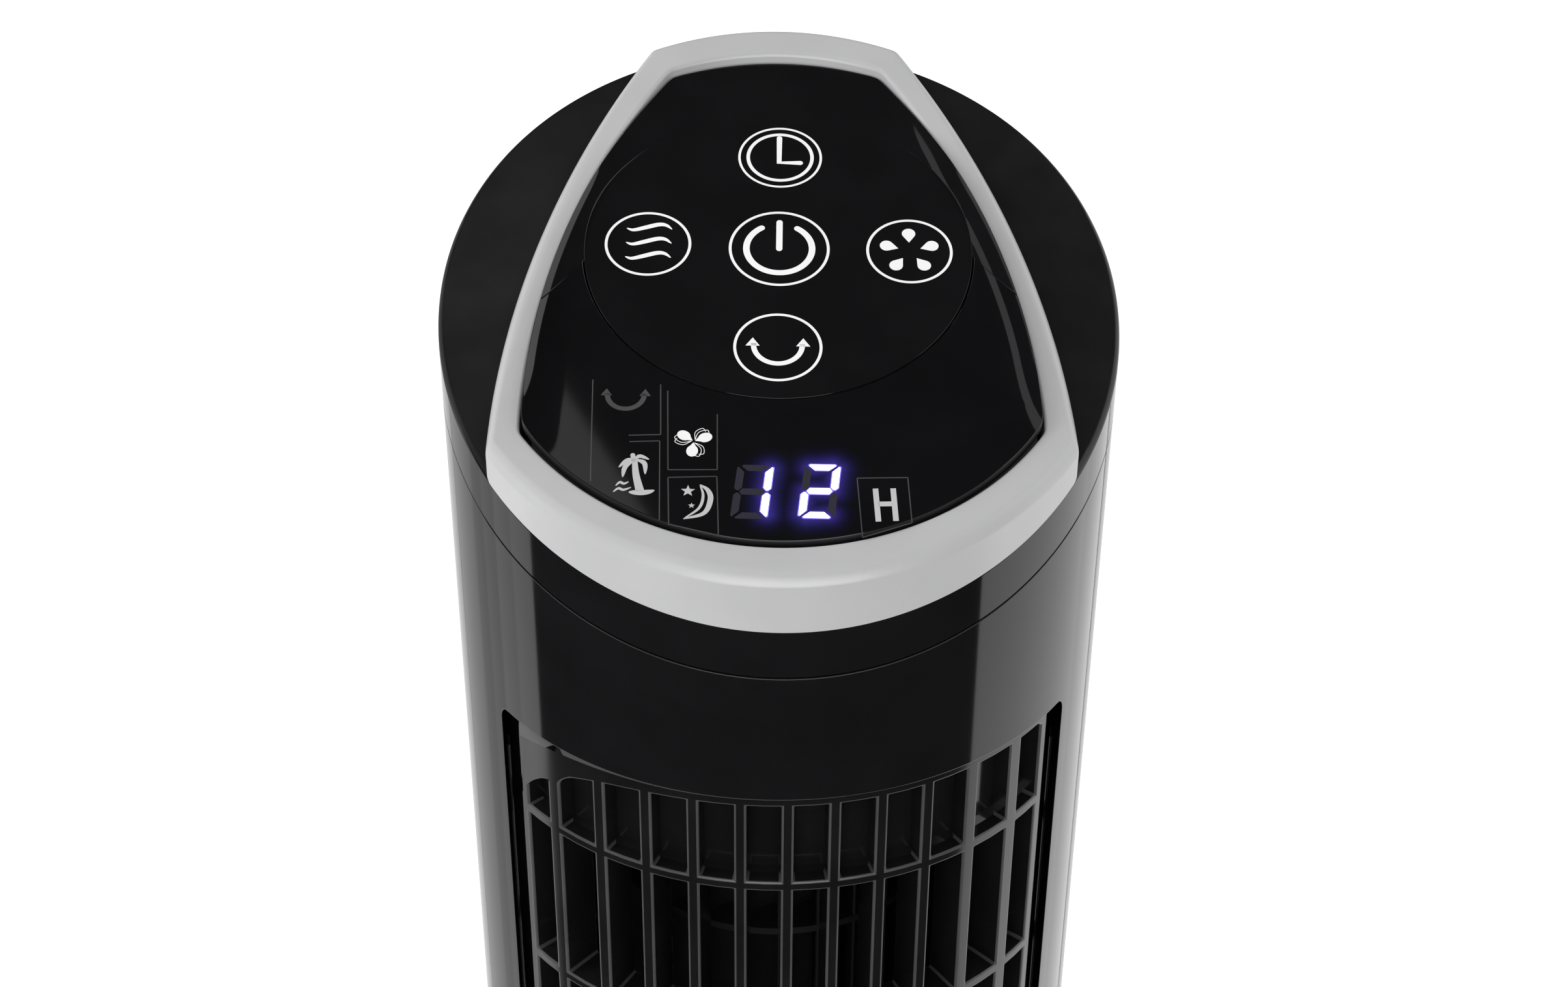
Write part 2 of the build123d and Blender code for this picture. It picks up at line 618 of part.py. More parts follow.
def motor_bearings():
    """Two sintered bushes, one in each end bell."""
    seats = [(MOTOR_LOW - 3.9, MOTOR_LOW + 7.9), (MOTOR_HIGH - 7.9, MOTOR_HIGH + 3.9)]
    return apart([tube(9.0, SHAFT_R + 0.05, a, b, 0, SPIN_Y) for a, b in seats])


def motor_dampers():
    """Rubber spacers between the motor and the bulkhead."""
    low, high = MOTOR_HIGH, LOW_BULKHEAD_Z
    return apart([tube(6.0, 2.3, low, high, x, y) for x, y in motor_bolt_places()])


def motor_bolts():
    """Screws from above, through the bulkhead and dampers into the motor."""
    top = LOW_BULKHEAD_Z + BULKHEAD
    return screws(motor_bolt_places(), 3.6, (top, top + 2.2), 1.9, (MOTOR_HIGH - 4, top + 0.1))


def motor_capacitor():
    """Run capacitor strapped beside the motor."""
    return block(-16, 16, -54, -38, 128, 158)


def capacitor_clip():
    """Spring clip that holds the capacitor up under the bulkhead."""
    clip = block(-18, 18, -56, -36, 126.8, 160) - block(-16.2, 16.2, -54.2, -37.8, 127.8, 170)
    strap = block(-5, 5, -56, -54.2, 158, LOW_BULKHEAD_Z)
    return clip & block(-19, 19, -60, -30, 120, 147) + strap + block(-5, 5, -56, -54.2, 140, 160)


# ---------------------------------------------------------------- tower: swing drive
def osc_bolt_places():
    return [(-26.0, OSC_Y), (26.0, OSC_Y)]


def swing_motor():
    """Small geared motor that swings the tower, standing on two posts of the floor."""
    can = disc(OSC_R, OSC_LOW + 1.5, OSC_HIGH, 0, OSC_Y)
    ears = block(-31, 31, OSC_Y - 5, OSC_Y + 5, OSC_LOW + 0.05, OSC_LOW + 1.6)
    neck = disc(6.0, OSC_LOW - 1.5, OSC_LOW + 2, 0, OSC_Y)
    body = can + ears + neck - disc(3.05, OSC_LOW - 2, OSC_LOW + 9, 0, OSC_Y)
    return body - [disc(1.8, OSC_LOW - 1, OSC_LOW + 3, x, y) for x, y in osc_bolt_places()]


def swing_screws():
    """Two screws through the swing motor's ears into the floor's posts."""
    head, shank = (OSC_LOW + 1.6, OSC_LOW + 3.3), (FLOOR_Z + 8, OSC_LOW + 1.7)
    return screws(osc_bolt_places(), 2.9, head, 1.1, shank)


def drive_pinion():
    """Pinion on the swing motor's shaft, in mesh with the fixed gear."""
    half_tooth = 180.0 / PINION_TEETH
    wheel = Rot(0, 0, 90.0 + 180.0 + half_tooth) * gear(PINION_TEETH, GEAR_LOW, GEAR_HIGH, 1.0, 0.2)
    spindle = disc(3.0, GEAR_LOW - 0.5, OSC_LOW + 8, 0, 0)
    return Pos(0, OSC_Y, 0) * (wheel + spindle)


# ---------------------------------------------------------------- head
def top_cap():
    """Sloping black top with its side wall; the control well is cut through it."""
    skin, lip_inner = 2.4, TOWER_R - 4.3
    outside = disc(TOWER_R, *HEAD) & below_cap()
    outside = outside - below_cap(-CAP_RIM + GAP / 2)
    cap = outside - (disc(TOWER_R - skin, *HEAD) & below_cap(-skin))
    root = tube(TOWER_R - skin + 0.1, lip_inner, *HEAD) & (below_cap(-2.0) - below_cap(-7))
    lip = tube(TOWER_R - 2.7, lip_inner, *HEAD) & (below_cap(-6) - below_cap(-CAP_RIM - 5))
    cap = cap + root + lip - upright(trim_inner(-1.9), *HEAD)
    return cap - [disc(1.3, *HEAD, x, y) for x, y in head_screw_places()]


def head_screw_places():
    """Six places along the middle of the trim frame's sides."""
    return [(side * x, y) for x, y in ((58.2, -30.0), (51.4, 10.0), (36.6, 50.0)) for side in (-1, 1)]


def screw_tip(y):
    """Height of a head screw's end, inside the trim frame."""
    return CAP_Z + TRIM_RISE - 1.9 + TRIM_SLOPE * y


def head_screws():
    """From below through the tray's flange and the cap into the trim frame."""
    fitted = []
    for x, y in head_screw_places():
        seat = CAP_Z + CAP_SLOPE * y + CAP_BOW * y * y - 5.8
        fitted.append(disc(2.4, seat - 1.6, seat, x, y) + disc(1.1, seat - 0.1, screw_tip(y), x, y))
    return apart(fitted)


def trim_frame():
    """Silver frame that stands on the cap and rims the control panel."""
    ring = upright(trim_outer(), *HEAD) - upright(trim_inner(), *HEAD)
    top = below(TRIM_RISE, TRIM_SLOPE, TRIM_BOW)
    frame = ring & (top - below_cap(0.03))
    skirt = upright(trim_inner(-1.6), *HEAD) - upright(trim_inner(), *HEAD)
    skirt = skirt & (below_cap(0.5) - below_cap(-2.4))
    pilots = [disc(1.2, HEAD[0], screw_tip(y) + 0.3, x, y) for x, y in head_screw_places()]
    frame = frame + skirt - pilots
    rim = [e for e in frame.edges() if on_trim_top(e)]
    return fillet(rim, 0.9)


def on_trim_top(edge):
    """True for the edges where the frame's top face meets its outer or inner wall."""
    for share in (0.25, 0.5, 0.75):
        p = edge.position_at(share)
        top = CAP_Z + TRIM_RISE + TRIM_SLOPE * p.Y + TRIM_BOW * p.Y**2
        if abs(p.Z - top) > 0.12:
            return False
    return True


def lens_region():
    """Plan of the display lens: all of the panel in front of the key field and its wings."""
    wing_in, wing_out = (42.4, 7.5), (58.0, -16.0)
    right = [wing_in, wing_out, (FAR, -FAR)]
    left = [(-x, y) for x, y in reversed(right)]
    return upright(Face(joined(Polyline(*right, *left, close=True))), *HEAD)


def key_field(extra, depth_low=-30.0, depth_high=30.0):
    """A round plug square to the panel, over the key field."""
    height = depth_high - depth_low
    return on_panel(Pos(0, 0, depth_low) * Cylinder(DISC_R + extra, height, align=BOTTOM))


def touch_plate():
    """Black plate with the round key field, shaped down at both sides like a shallow dish."""
    plate = upright(trim_inner(0.35), *HEAD) & (below_panel(0.9) - below_panel(-1.9))
    plate = plate - (lens_region() - key_field(0.0))
    return plate - key_field(0.0, 0.0, 30.0)


def display_lens():
    """Smoked window over the display, wrapped round the key field."""
    plate = upright(trim_inner(0.35), *HEAD) & (below_panel(0.25) - below_panel(-1.9))
    return plate & (lens_region() - key_field(KEY_GAP))


def control_tray():
    """Tray under the panel that carries the boards and clips into the cap."""
    floor_drop, floor_thick = 17.0, 1.8
    tray = upright(trim_inner(2.2), *HEAD) & (below_panel(-2.0) - below_panel(-floor_drop))
    tray = tray - (upright(trim_inner(4.0), *HEAD) - below_panel(floor_thick - floor_drop))
    flange = upright(trim_inner(-9.0), *HEAD) & disc(70.0, *HEAD)
    flange = flange - upright(trim_inner(3.0), *HEAD)
    tray = tray + (flange & (below_cap(-2.5) - below_cap(-4.5)))
    tray = tray - [disc(1.3, *HEAD, x, y) for x, y in head_screw_places()]
    posts = [stud(x, v, -16.0, 3.0, 7.95) for x, v in BOARD_POSTS]
    pilots = [stud(x, v, -14.0, 0.9, 9.0) for x, v in BOARD_POSTS]
    wire_hole = stud(0, 34, -60.0, 5.0, 60.0)
    return tray + posts - wire_hole - pilots


def stud(x, v, depth, radius, height):
    """A cylinder square to the panel, rising from a depth below it."""
    return on_panel(Pos(x, v, depth) * Cylinder(radius, height, align=BOTTOM))


def cell(x, v, depth, width, length, height):
    """A box square to the panel, rising from a depth below it."""
    return on_panel(Pos(x, v, depth) * Box(width, length, height, align=BOTTOM))


def control_board():
    """Circuit board with the touch and display electronics."""
    board = on_panel(Pos(0, -20, -8.0) * extrude(RectangleRounded(74, 100, 6), 1.6))
    board = board & upright(trim_inner(5.0), *HEAD)
    return board - [stud(x, v, -9.0, 1.2, 4.0) for x, v in BOARD_POSTS]


def tray_screws():
    """Small screws that hold the control board on the tray's posts."""
    fitted = [stud(x, v, -6.35, 2.0, 1.2) + stud(x, v, -12.0, 0.85, 6.0) for x, v in BOARD_POSTS]
    return apart(fitted)


def touch_pads():
    """Conductive foam plugs that join each key to the board."""
    places = [(0.0, 0.0)] + on_circle(KEY_SPACING, 4)
    return apart([stud(x, v, ON_BOARD, 6.5, 4.3) for x, v in places])


def digit_display():
    """Two-digit seven-segment block."""
    return cell(-0.5, DIGITS_V, ON_BOARD, 25.0, 19.0, 4.0)


def light_guide():
    """Moulded guide with one cell for each lit symbol."""
    body = cell(-27.0, -60.0, ON_BOARD, 22.0, 34.0, 4.0) & upright(trim_inner(4.0), *HEAD)
    symbols = [(x, v) for x in (-32.0, -22.0) for v in (-52.0, -67.0)]
    return body - [cell(x, v, ON_BOARD - 0.6, 8.0, 13.0, 9.0) for x, v in symbols]


def ir_receiver():
    """Infra-red eye of the remote control, behind the lens."""
    return cell(28.0, -62.0, ON_BOARD, 6.0, 5.5, 4.2)


def buzzer():
    """Piezo sounder under the control board."""
    return stud(-18.0, 6.0, -13.6, 6.0, 5.5)


def power_board_posts():
    return [(-36.0, 0.0), (36.0, 0.0), (-36.0, 48.0), (36.0, 48.0)]


def power_board():
    """Supply and switching board, on four posts above the upper bulkhead."""
    board = block(-41, 41, -5, 53, POWER_BOARD_Z, POWER_BOARD_Z + 1.6)
    holes = [disc(1.7, POWER_BOARD_Z - 1, POWER_BOARD_Z + 3, x, y) for x, y in power_board_posts()]
    return board - holes


def board_screws():
    """Screws that hold the power board on its posts."""
    head, shank = (POWER_BOARD_Z + 1.65, POWER_BOARD_Z + 3.2), (POWER_BOARD_Z - 9, POWER_BOARD_Z + 1.7)
    return screws(power_board_posts(), 2.7, head, 1.2, shank)


def power_components():
    """The board's tall parts: transformer, relays, film capacitor, connectors."""
    low = POWER_BOARD_Z + 1.65
    transformer, film = (-24, 14, 22, 18, 16), (4, 30, 20, 10, 15)  # x, y, width, depth, height
    relays = [(2, 10, 16, 11, 13), (22, 10, 16, 11, 13)]
    sockets = [(27, 32, 9, 12, 10), (-24, 38, 18, 8, 9)]
    bodies = []
    for x, y, width, depth, height in [transformer, film, *relays, *sockets]:
        place = Pos(x, y, low)
        bodies.append(place * Box(width, depth, height, align=BOTTOM))
    return apart(bodies)


# ---------------------------------------------------------------- export
NODES = [
    base_shell, base_plate, rubber_feet, base_screws, pivot_post, post_screws, fixed_gear,
    gear_clip, slide_ring, cord_grommet, terminal_block,
    front_shell, rear_shell, shell_screws, front_grille,
    lower_bulkhead, upper_bulkhead, tower_floor, scroll_wall, tongue_wall,
    impeller, hub_screw, top_journal, top_bearing, bearing_rubber,
    motor_lower_bell, motor_upper_bell, motor_stator, motor_windings, motor_rotor,
    motor_shaft, motor_bearings, motor_dampers, motor_bolts, motor_capacitor, capacitor_clip,
    swing_motor, swing_screws, drive_pinion,
    top_cap, trim_frame, head_screws, touch_plate, display_lens, control_tray, control_board,
    tray_screws, touch_pads, digit_display, light_guide, ir_receiver, buzzer,
    power_board, board_screws, power_components,
]

os.makedirs("parts", exist_ok=True)
for make in NODES:
    export_step(make(), f"parts/{make.__name__}.step")
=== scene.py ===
"""Tower fan: the visual model built round the CAD frame, with studio light and camera.

Lengths are millimetres in the frame's axes while a piece is drafted: +Z up, the outlet
grille faces -Y. settle() bevels a draft, bends it into place and turns it into metres.
"""

import json
import math

import bmesh
import bpy
import numpy as np
from mathutils import Matrix, Vector


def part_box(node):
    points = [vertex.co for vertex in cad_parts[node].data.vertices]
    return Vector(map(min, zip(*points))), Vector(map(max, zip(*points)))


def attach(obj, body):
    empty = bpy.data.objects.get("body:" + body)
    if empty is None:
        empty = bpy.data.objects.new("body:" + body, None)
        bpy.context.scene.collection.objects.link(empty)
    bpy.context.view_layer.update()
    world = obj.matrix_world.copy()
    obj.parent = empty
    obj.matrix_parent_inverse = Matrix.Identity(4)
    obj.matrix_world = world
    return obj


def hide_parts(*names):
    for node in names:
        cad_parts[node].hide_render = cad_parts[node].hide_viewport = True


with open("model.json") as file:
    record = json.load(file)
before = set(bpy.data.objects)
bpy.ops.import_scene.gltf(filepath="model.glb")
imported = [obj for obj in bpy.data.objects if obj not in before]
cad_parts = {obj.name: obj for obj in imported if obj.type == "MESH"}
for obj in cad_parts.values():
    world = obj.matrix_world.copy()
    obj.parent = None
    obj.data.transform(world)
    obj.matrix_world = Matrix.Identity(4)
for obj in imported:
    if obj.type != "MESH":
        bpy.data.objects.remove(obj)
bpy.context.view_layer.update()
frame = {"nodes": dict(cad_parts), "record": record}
MM = 0.001


def span(node):
    """Lowest and highest corner of a CAD node, in millimetres."""
    low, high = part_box(node)
    return low / MM, high / MM


# ---------------------------------------------------------------- driving dimensions
SHELL_LOW, SHELL_HIGH = span("rear_shell")
TOWER_R = SHELL_HIGH.x
BODY_BOTTOM = SHELL_LOW.z
WALL = 2.2
CAP_Z = 707.0
CAP_RIM = 13.0
CAP_SLOPE, CAP_BOW = 0.41, -0.00048
TRIM_RISE, TRIM_SLOPE, TRIM_BOW = 3.8, 0.361, 0.00042
PANEL_RISE, PANEL_SLOPE = 4.9, 0.34
DISC_R, DISC_Y = 43.0, 10.0
OPEN_TOP, OPEN_BOTTOM, OPEN_HALF = 628.0, 172.0, 63.0
GRILLE_LOW, GRILLE_HIGH = span("front_grille")
GRILLE_R, GRILLE_HALF_WIDTH = 73.6, 59.5
BAR_PITCH, BAR_WIDTH, BARS_EACH_SIDE = 10.3, 2.7, 5
RING_TOP, RING_PITCH, RING_COUNT, RING_HEIGHT = 603.4, 44.5, 10, 2.5


def cap_top(y):
    """Height of the cap's sloping top at y."""
    return CAP_Z + CAP_SLOPE * y + CAP_BOW * y * y


def trim_top(y):
    """Height of the silver trim's top at y."""
    return CAP_Z + TRIM_RISE + TRIM_SLOPE * y + TRIM_BOW * y * y


# ---------------------------------------------------------------- mesh helpers
def add_piece(name, mesh, body, material, stands_for=()):
    """Adds a mesh as a piece that rides on a body and may stand for CAD nodes."""
    obj = bpy.data.objects.new(name, mesh)
    bpy.context.scene.collection.objects.link(obj)
    mesh.materials.clear()
    mesh.materials.append(material)
    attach(obj, body)
    if stands_for:
        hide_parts(*stands_for)
    return obj


def turned(points, normals, corners, warp):
    """Bends points with warp and turns each corner's normal with it."""
    step = 0.01
    columns = []
    for axis in range(3):
        shift = np.zeros(3)
        shift[axis] = step
        columns.append((warp(points + shift) - warp(points - shift)) / (2 * step))
    jacobian = np.stack(columns, axis=2)
    turn = np.linalg.inv(jacobian).transpose(0, 2, 1)[corners]
    bent = np.einsum("nij,nj->ni", turn, normals)
    return warp(points), bent / np.linalg.norm(bent, axis=1)[:, None]


def numbers(data, field, width=3, kind=float):
    """One field of a mesh's elements as an array, a row per element."""
    flat = np.empty(len(data) * width, dtype=kind)
    data.foreach_get(field, flat)
    return flat.reshape(-1, width) if width > 1 else flat


def edged(name, bm, bevel, segments, sharp, highlight_bevels, clamp):
    """The draft's mesh with rounded edges, its flat faces kept flat in shading. When asked, the bevel faces
    go to the second slot, for a painted edge highlight.
    """
    bmesh.ops.recalc_face_normals(bm, faces=bm.faces)
    draft = bpy.data.meshes.new(name + "_draft")
    bm.to_mesh(draft)
    bm.free()
    draft.shade_smooth()
    draft.set_sharp_from_angle(angle=math.radians(sharp))
    draft.materials.append(BODY_GLOSS)
    draft.materials.append(BODY_GLOSS)
    obj = bpy.data.objects.new(name + "_draft", draft)
    bpy.context.scene.collection.objects.link(obj)
    if bevel:
        edge = obj.modifiers.new("edge", "BEVEL")
        edge.width = bevel
        edge.segments = segments
        edge.material = int(highlight_bevels)
        edge.limit_method = "ANGLE"
        edge.angle_limit = math.radians(sharp)
        edge.use_clamp_overlap = clamp
    weigh = obj.modifiers.new("weigh", "WEIGHTED_NORMAL")
    weigh.weight = 100
    weigh.keep_sharp = not bevel
    shown = obj.evaluated_get(bpy.context.evaluated_depsgraph_get())
    mesh = bpy.data.meshes.new_from_object(shown)
    mesh.name = name
    bpy.data.objects.remove(obj)
    bpy.data.meshes.remove(draft)
    return mesh


def settle(name, bm, body, material, stands_for=(), bevel=0.0, segments=2, warp=None, sharp=35.0,
           edge_highlight=None, clamp=True):
    """Bevels a draft and bends it into place; the bevels can be given a lighter material of their own, a
    painted edge highlight.
    """
    mesh = edged(name, bm, bevel, segments, sharp, edge_highlight is not None, clamp)
    points = numbers(mesh.vertices, "co")
    normals = numbers(mesh.corner_normals, "vector")
    corners = numbers(mesh.loops, "vertex_index", 1, np.int64)
    if warp:
        points, normals = turned(points, normals, corners, warp)
    mesh.vertices.foreach_set("co", (points * MM).ravel())
    mesh.normals_split_custom_set(normals.tolist())
    mesh.update()
    # slot 1 marks the bevel faces that take the painted edge highlight
    bevel_highlight_slots = numbers(mesh.polygons, "material_index", 1, np.int32)
    piece = add_piece(name, mesh, body, material, stands_for)
    if edge_highlight:
        mesh.materials.append(edge_highlight)
        mesh.polygons.foreach_set("material_index", bevel_highlight_slots)
    return piece


def bridge(bm, a, b, closed=True):
    """Joins two rows of vertices with faces, all round when closed."""
    width = len(a)
    for j in range(width if closed else width - 1):
        k = (j + 1) % width
        bm.faces.new([a[j], b[j], b[k], a[k]])


def lattice(xs, zs, keep, depth, front=0.0):
    """Slab of grid cells facing -Y, front to front + depth deep, solid where keep(x, z)."""
    bm = bmesh.new()
    grid = {}

    def at(i, j, back):
        if (i, j, back) not in grid:
            grid[i, j, back] = bm.verts.new((xs[i], front + depth * back, zs[j]))
        return grid[i, j, back]

    middles_x, middles_z = ([(a + b) / 2 for a, b in zip(line, line[1:])] for line in (xs, zs))
    solid = {(i, j) for i, x in enumerate(middles_x) for j, z in enumerate(middles_z) if keep(x, z)}
    for i, j in solid:
        ring = [(i, j), (i + 1, j), (i + 1, j + 1), (i, j + 1)]
        bm.faces.new([at(*c, 0) for c in ring])
        bm.faces.new([at(*c, 1) for c in reversed(ring)])
        beyond = [(i, j - 1), (i + 1, j), (i, j + 1), (i - 1, j)]
        for k in range(4):
            if beyond[k] not in solid:
                a, b = ring[k], ring[(k + 1) % 4]
                bm.faces.new([at(*b, 0), at(*a, 0), at(*a, 1), at(*b, 1)])
    return bm


def round_corners(bm, radius, segments, wanted):
    """Rounds the edges that run straight back (along Y) where wanted(x, z)."""
    bm.normal_update()
    edges = []
    for edge in bm.edges:
        a, b = edge.verts
        straight = abs(a.co.x - b.co.x) < 1e-4 and abs(a.co.z - b.co.z) < 1e-4
        if straight and wanted(a.co.x, a.co.z):
            walls = [f for f in edge.link_faces if abs(f.normal.y) < 0.5]
            if len(walls) == 2 and walls[0].normal.dot(walls[1].normal) < 0.5:
                edges.append(edge)
    bmesh.ops.bevel(bm, geom=edges, offset=radius, segments=segments, profile=0.5, affect="EDGES")


def sheet_solid(grid, top, thick, closed=False):
    """Closed plate from rows of (x, y) points; its upper side follows top(x, y)."""
    bm = bmesh.new()
    upper, lower = (
        [[bm.verts.new((x, y, top(x, y) - low)) for x, y in row] for row in grid] for low in (0.0, thick)
    )
    for side in (upper, lower):
        for a, b in zip(side, side[1:]):
            bridge(bm, a, b, closed)
    for end in (0, -1):
        bridge(bm, lower[end], upper[end], closed)
        if not closed:
            bridge(bm, [row[end] for row in lower], [row[end] for row in upper], closed)
    return bm


def ring_solid(sections):
    """Closed ring from one list of (x, y, z) points per direction, joined all round."""
    bm = bmesh.new()
    rows = [[bm.verts.new(p) for p in section] for section in sections]
    for a, b in zip(rows, rows[1:] + rows[:1]):
        bridge(bm, a, b)
    return bm


def join_drafts(*drafts):
    """One draft from several closed ones."""
    whole = bmesh.new()
    for part in drafts:
        lump = bpy.data.meshes.new("lump")
        part.to_mesh(lump)
        part.free()
        whole.from_mesh(lump)
        bpy.data.meshes.remove(lump)
    return whole


def directions(count):
    """Even directions all round, from straight back to the left."""
    return [math.tau * i / count - math.pi for i in range(count)]


def same(a, b):
    """Whether two lengths are the same but for rounding."""
    return abs(a - b) < 0.01


def polar(r, angle, centre=(0.0, 0.0)):
    """The point at a distance and direction from a centre."""
    return (centre[0] + r * math.cos(angle), centre[1] + r * math.sin(angle))


def swept(section, angle):
    """A section of (r, z) points, stood in one direction from the axis."""
    return [(*polar(r, angle), z) for r, z in section]


def blend(a, b, t):
    """The value a share t of the way from a to b."""
    return a + (b - a) * t


def steps(low, high, size):
    """Even steps no larger than size, both ends included."""
    count = max(1, math.ceil(abs(high - low) / size - 1e-9))
    return [low + (high - low) * i / count for i in range(count + 1)]


def merged(*groups, closest=0.05):
    """All values in order, without near doubles."""
    result = []
    for value in sorted(v for group in groups for v in group):
        if not result or value - result[-1] > closest:
            result.append(value)
    return result


# ---------------------------------------------------------------- materials
def node_material(name):
    """A new material with its nodes, links and shader."""
    material = bpy.data.materials.new(name)
    material.use_nodes = True
    nodes = material.node_tree.nodes
    shader = nodes["Principled BSDF"]
    return material, nodes, material.node_tree.links, shader


def noise(nodes, links, scale, detail=2.0, stretch=(1.0, 1.0, 1.0)):
    """Noise over the object's own coordinates; scale counts features per metre."""
    place = nodes.new("ShaderNodeTexCoord")
    squeeze = nodes.new("ShaderNodeMapping")
    squeeze.inputs["Scale"].default_value = stretch
    texture = nodes.new("ShaderNodeTexNoise")
    texture.inputs["Scale"].default_value = scale
    texture.inputs["Detail"].default_value = detail
    links.new(place.outputs["Object"], squeeze.inputs["Vector"])
    links.new(squeeze.outputs["Vector"], texture.inputs["Vector"])
    return texture.outputs["Fac"]


def spread(nodes, links, source, low, high):
    """Maps a 0.3 to 0.7 noise on to the range low to high."""
    ranged = nodes.new("ShaderNodeMapRange")
    ranged.inputs["From Min"].default_value = 0.3
    ranged.inputs["From Max"].default_value = 0.7
    ranged.inputs["To Min"].default_value = low
    ranged.inputs["To Max"].default_value = high
    links.new(source, ranged.inputs["Value"])
    return ranged.outputs["Result"]


def tinted(nodes, links, source, dark, light):
    """Colours a noise from dark to light."""
    ramp = nodes.new("ShaderNodeValToRGB")
    ramp.color_ramp.elements[0].position = 0.35
    ramp.color_ramp.elements[0].color = (*dark, 1.0)
    ramp.color_ramp.elements[1].position = 0.65
    ramp.color_ramp.elements[1].color = (*light, 1.0)
    links.new(source, ramp.inputs["Fac"])
    return ramp.outputs["Color"]


def bumped(nodes, links, shader, source, height, strength):
    """Fine surface relief of the given height in metres."""
    bump = nodes.new("ShaderNodeBump")
    bump.inputs["Distance"].default_value = height
    bump.inputs["Strength"].default_value = strength
    links.new(source, bump.inputs["Height"])
    links.new(bump.outputs["Normal"], shader.inputs["Normal"])


def moulded(name, color, rough, vary=0.15, texture=900.0, height=0.00001, specular=0.5, coat=0.0,
            strength=0.3):
    """Moulded plastic: slight mottling, uneven gloss and a fine surface texture."""
    material, nodes, links, shader = node_material(name)
    mottle = noise(nodes, links, 60.0, 4.0)
    dark = tuple(c * (1 - vary) for c in color)
    light = tuple(min(1.0, c * (1 + vary)) for c in color)
    links.new(tinted(nodes, links, mottle, dark, light), shader.inputs["Base Color"])
    smear = noise(nodes, links, 22.0, 3.0)
    links.new(spread(nodes, links, smear, rough * 0.88, rough * 1.12), shader.inputs["Roughness"])
    shader.inputs["Specular IOR Level"].default_value = specular
    shader.inputs["Coat Weight"].default_value = coat
    shader.inputs["Coat Roughness"].default_value = 0.04
    bumped(nodes, links, shader, noise(nodes, links, texture, 2.0), height, strength)
    return material


def metal(name, color, rough, brushed=(1.0, 1.0, 1.0)):
    """Bare metal with fine turning or brushing marks along the stretched axis."""
    material, nodes, links, shader = node_material(name)
    shader.inputs["Metallic"].default_value = 1.0
    grain = noise(nodes, links, 700.0, 3.0, brushed)
    dark = tuple(c * 0.82 for c in color)
    links.new(tinted(nodes, links, grain, dark, color), shader.inputs["Base Color"])
    links.new(spread(nodes, links, grain, rough * 0.8, rough * 1.25), shader.inputs["Roughness"])
    bumped(nodes, links, shader, grain, 0.00001, 0.25)
    return material


def glowing(name, color, strength, surface=(0.8, 0.8, 0.8)):
    """A lit area: its own light, a little uneven, over a pale diffuser."""
    material, nodes, links, shader = node_material(name)
    shader.inputs["Base Color"].default_value = (*surface, 1.0)
    shader.inputs["Roughness"].default_value = 0.5
    shader.inputs["Emission Strength"].default_value = strength
    cloud = noise(nodes, links, 300.0, 1.0)
    dim = tuple(c * 0.93 for c in color)
    links.new(tinted(nodes, links, cloud, dim, color), shader.inputs["Emission Color"])
    return material


def gloss(name, color, rough, vary, texture, height, specular=0.5, strength=0.1):
    """Moulded plastic with a polished face and hardly any relief."""
    return moulded(name, color, rough, vary, texture, height, specular, strength=strength)


BODY_GLOSS = gloss("body gloss", (0.006, 0.006, 0.0065), 0.07, 0.1, 260.0, 0.000004, 0.42)
CAP_SATIN = gloss("cap satin", (0.0085, 0.0085, 0.009), 0.3, 0.2, 2400.0, 0.000012, 0.35, 0.25)
PANEL_GLOSS = gloss("panel gloss", (0.0055, 0.0055, 0.006), 0.05, 0.1, 200.0, 0.000003, 0.45)
TRIM_SILVER = gloss("trim silver", (0.385, 0.385, 0.39), 0.3, 0.02, 3000.0, 0.000006, strength=0.2)
GRILLE_BLACK = gloss("grille black", (0.007, 0.007, 0.0075), 0.13, 0.15, 500.0, 0.000006, strength=0.15)
# Lighter finishes for bevels: painted highlights where the edges would catch the light.
GRILLE_EDGE_HIGHLIGHT = gloss("grille edge painted highlight", (0.05, 0.05, 0.051), 0.3, 0.1, 500.0, 0.000004)
BODY_EDGE_HIGHLIGHT = gloss("body edge painted highlight", (0.045, 0.045, 0.046), 0.25, 0.1, 500.0, 0.000004)
LENS_GLASS = gloss("lens smoke", (0.0045, 0.0045, 0.005), 0.045, 0.1, 200.0, 0.000003)
FAINT_INK = gloss("faint print", (0.05, 0.05, 0.05), 0.2, 0.12, 1400.0, 0.000002)
INK = gloss("printed ink", (0.72, 0.72, 0.72), 0.45, 0.02, 4000.0, 0.000003, 0.3, 0.2)
INNER_BLACK = moulded("inner black", (0.012, 0.012, 0.012), 0.5, 0.2, 1200.0, 0.00003, 0.4)
# Bars that are off still get a faint violet emission: a painted glow.
OFF_BARS_PAINTED_GLOW = glowing("unlit bars painted glow", (0.35, 0.3, 0.6), 0.03, (0.012, 0.011, 0.014))
VIOLET_LIGHT = glowing("violet light", (0.22, 0.16, 1.0), 0.85, (0.1, 0.1, 0.3))
WHITE_LIGHT = glowing("white light", (1.0, 0.99, 1.0), 1.5)
WHITE_SOFT = glowing("soft white light", (1.0, 1.0, 1.0), 0.6, (0.25, 0.25, 0.25))
# Grey print for the small display symbols, with an emission of its own: a painted glow.
GREY_PRINT_PAINTED_GLOW = glowing("grey print painted glow", (0.9, 0.9, 0.9), 0.22, (0.26, 0.26, 0.26))


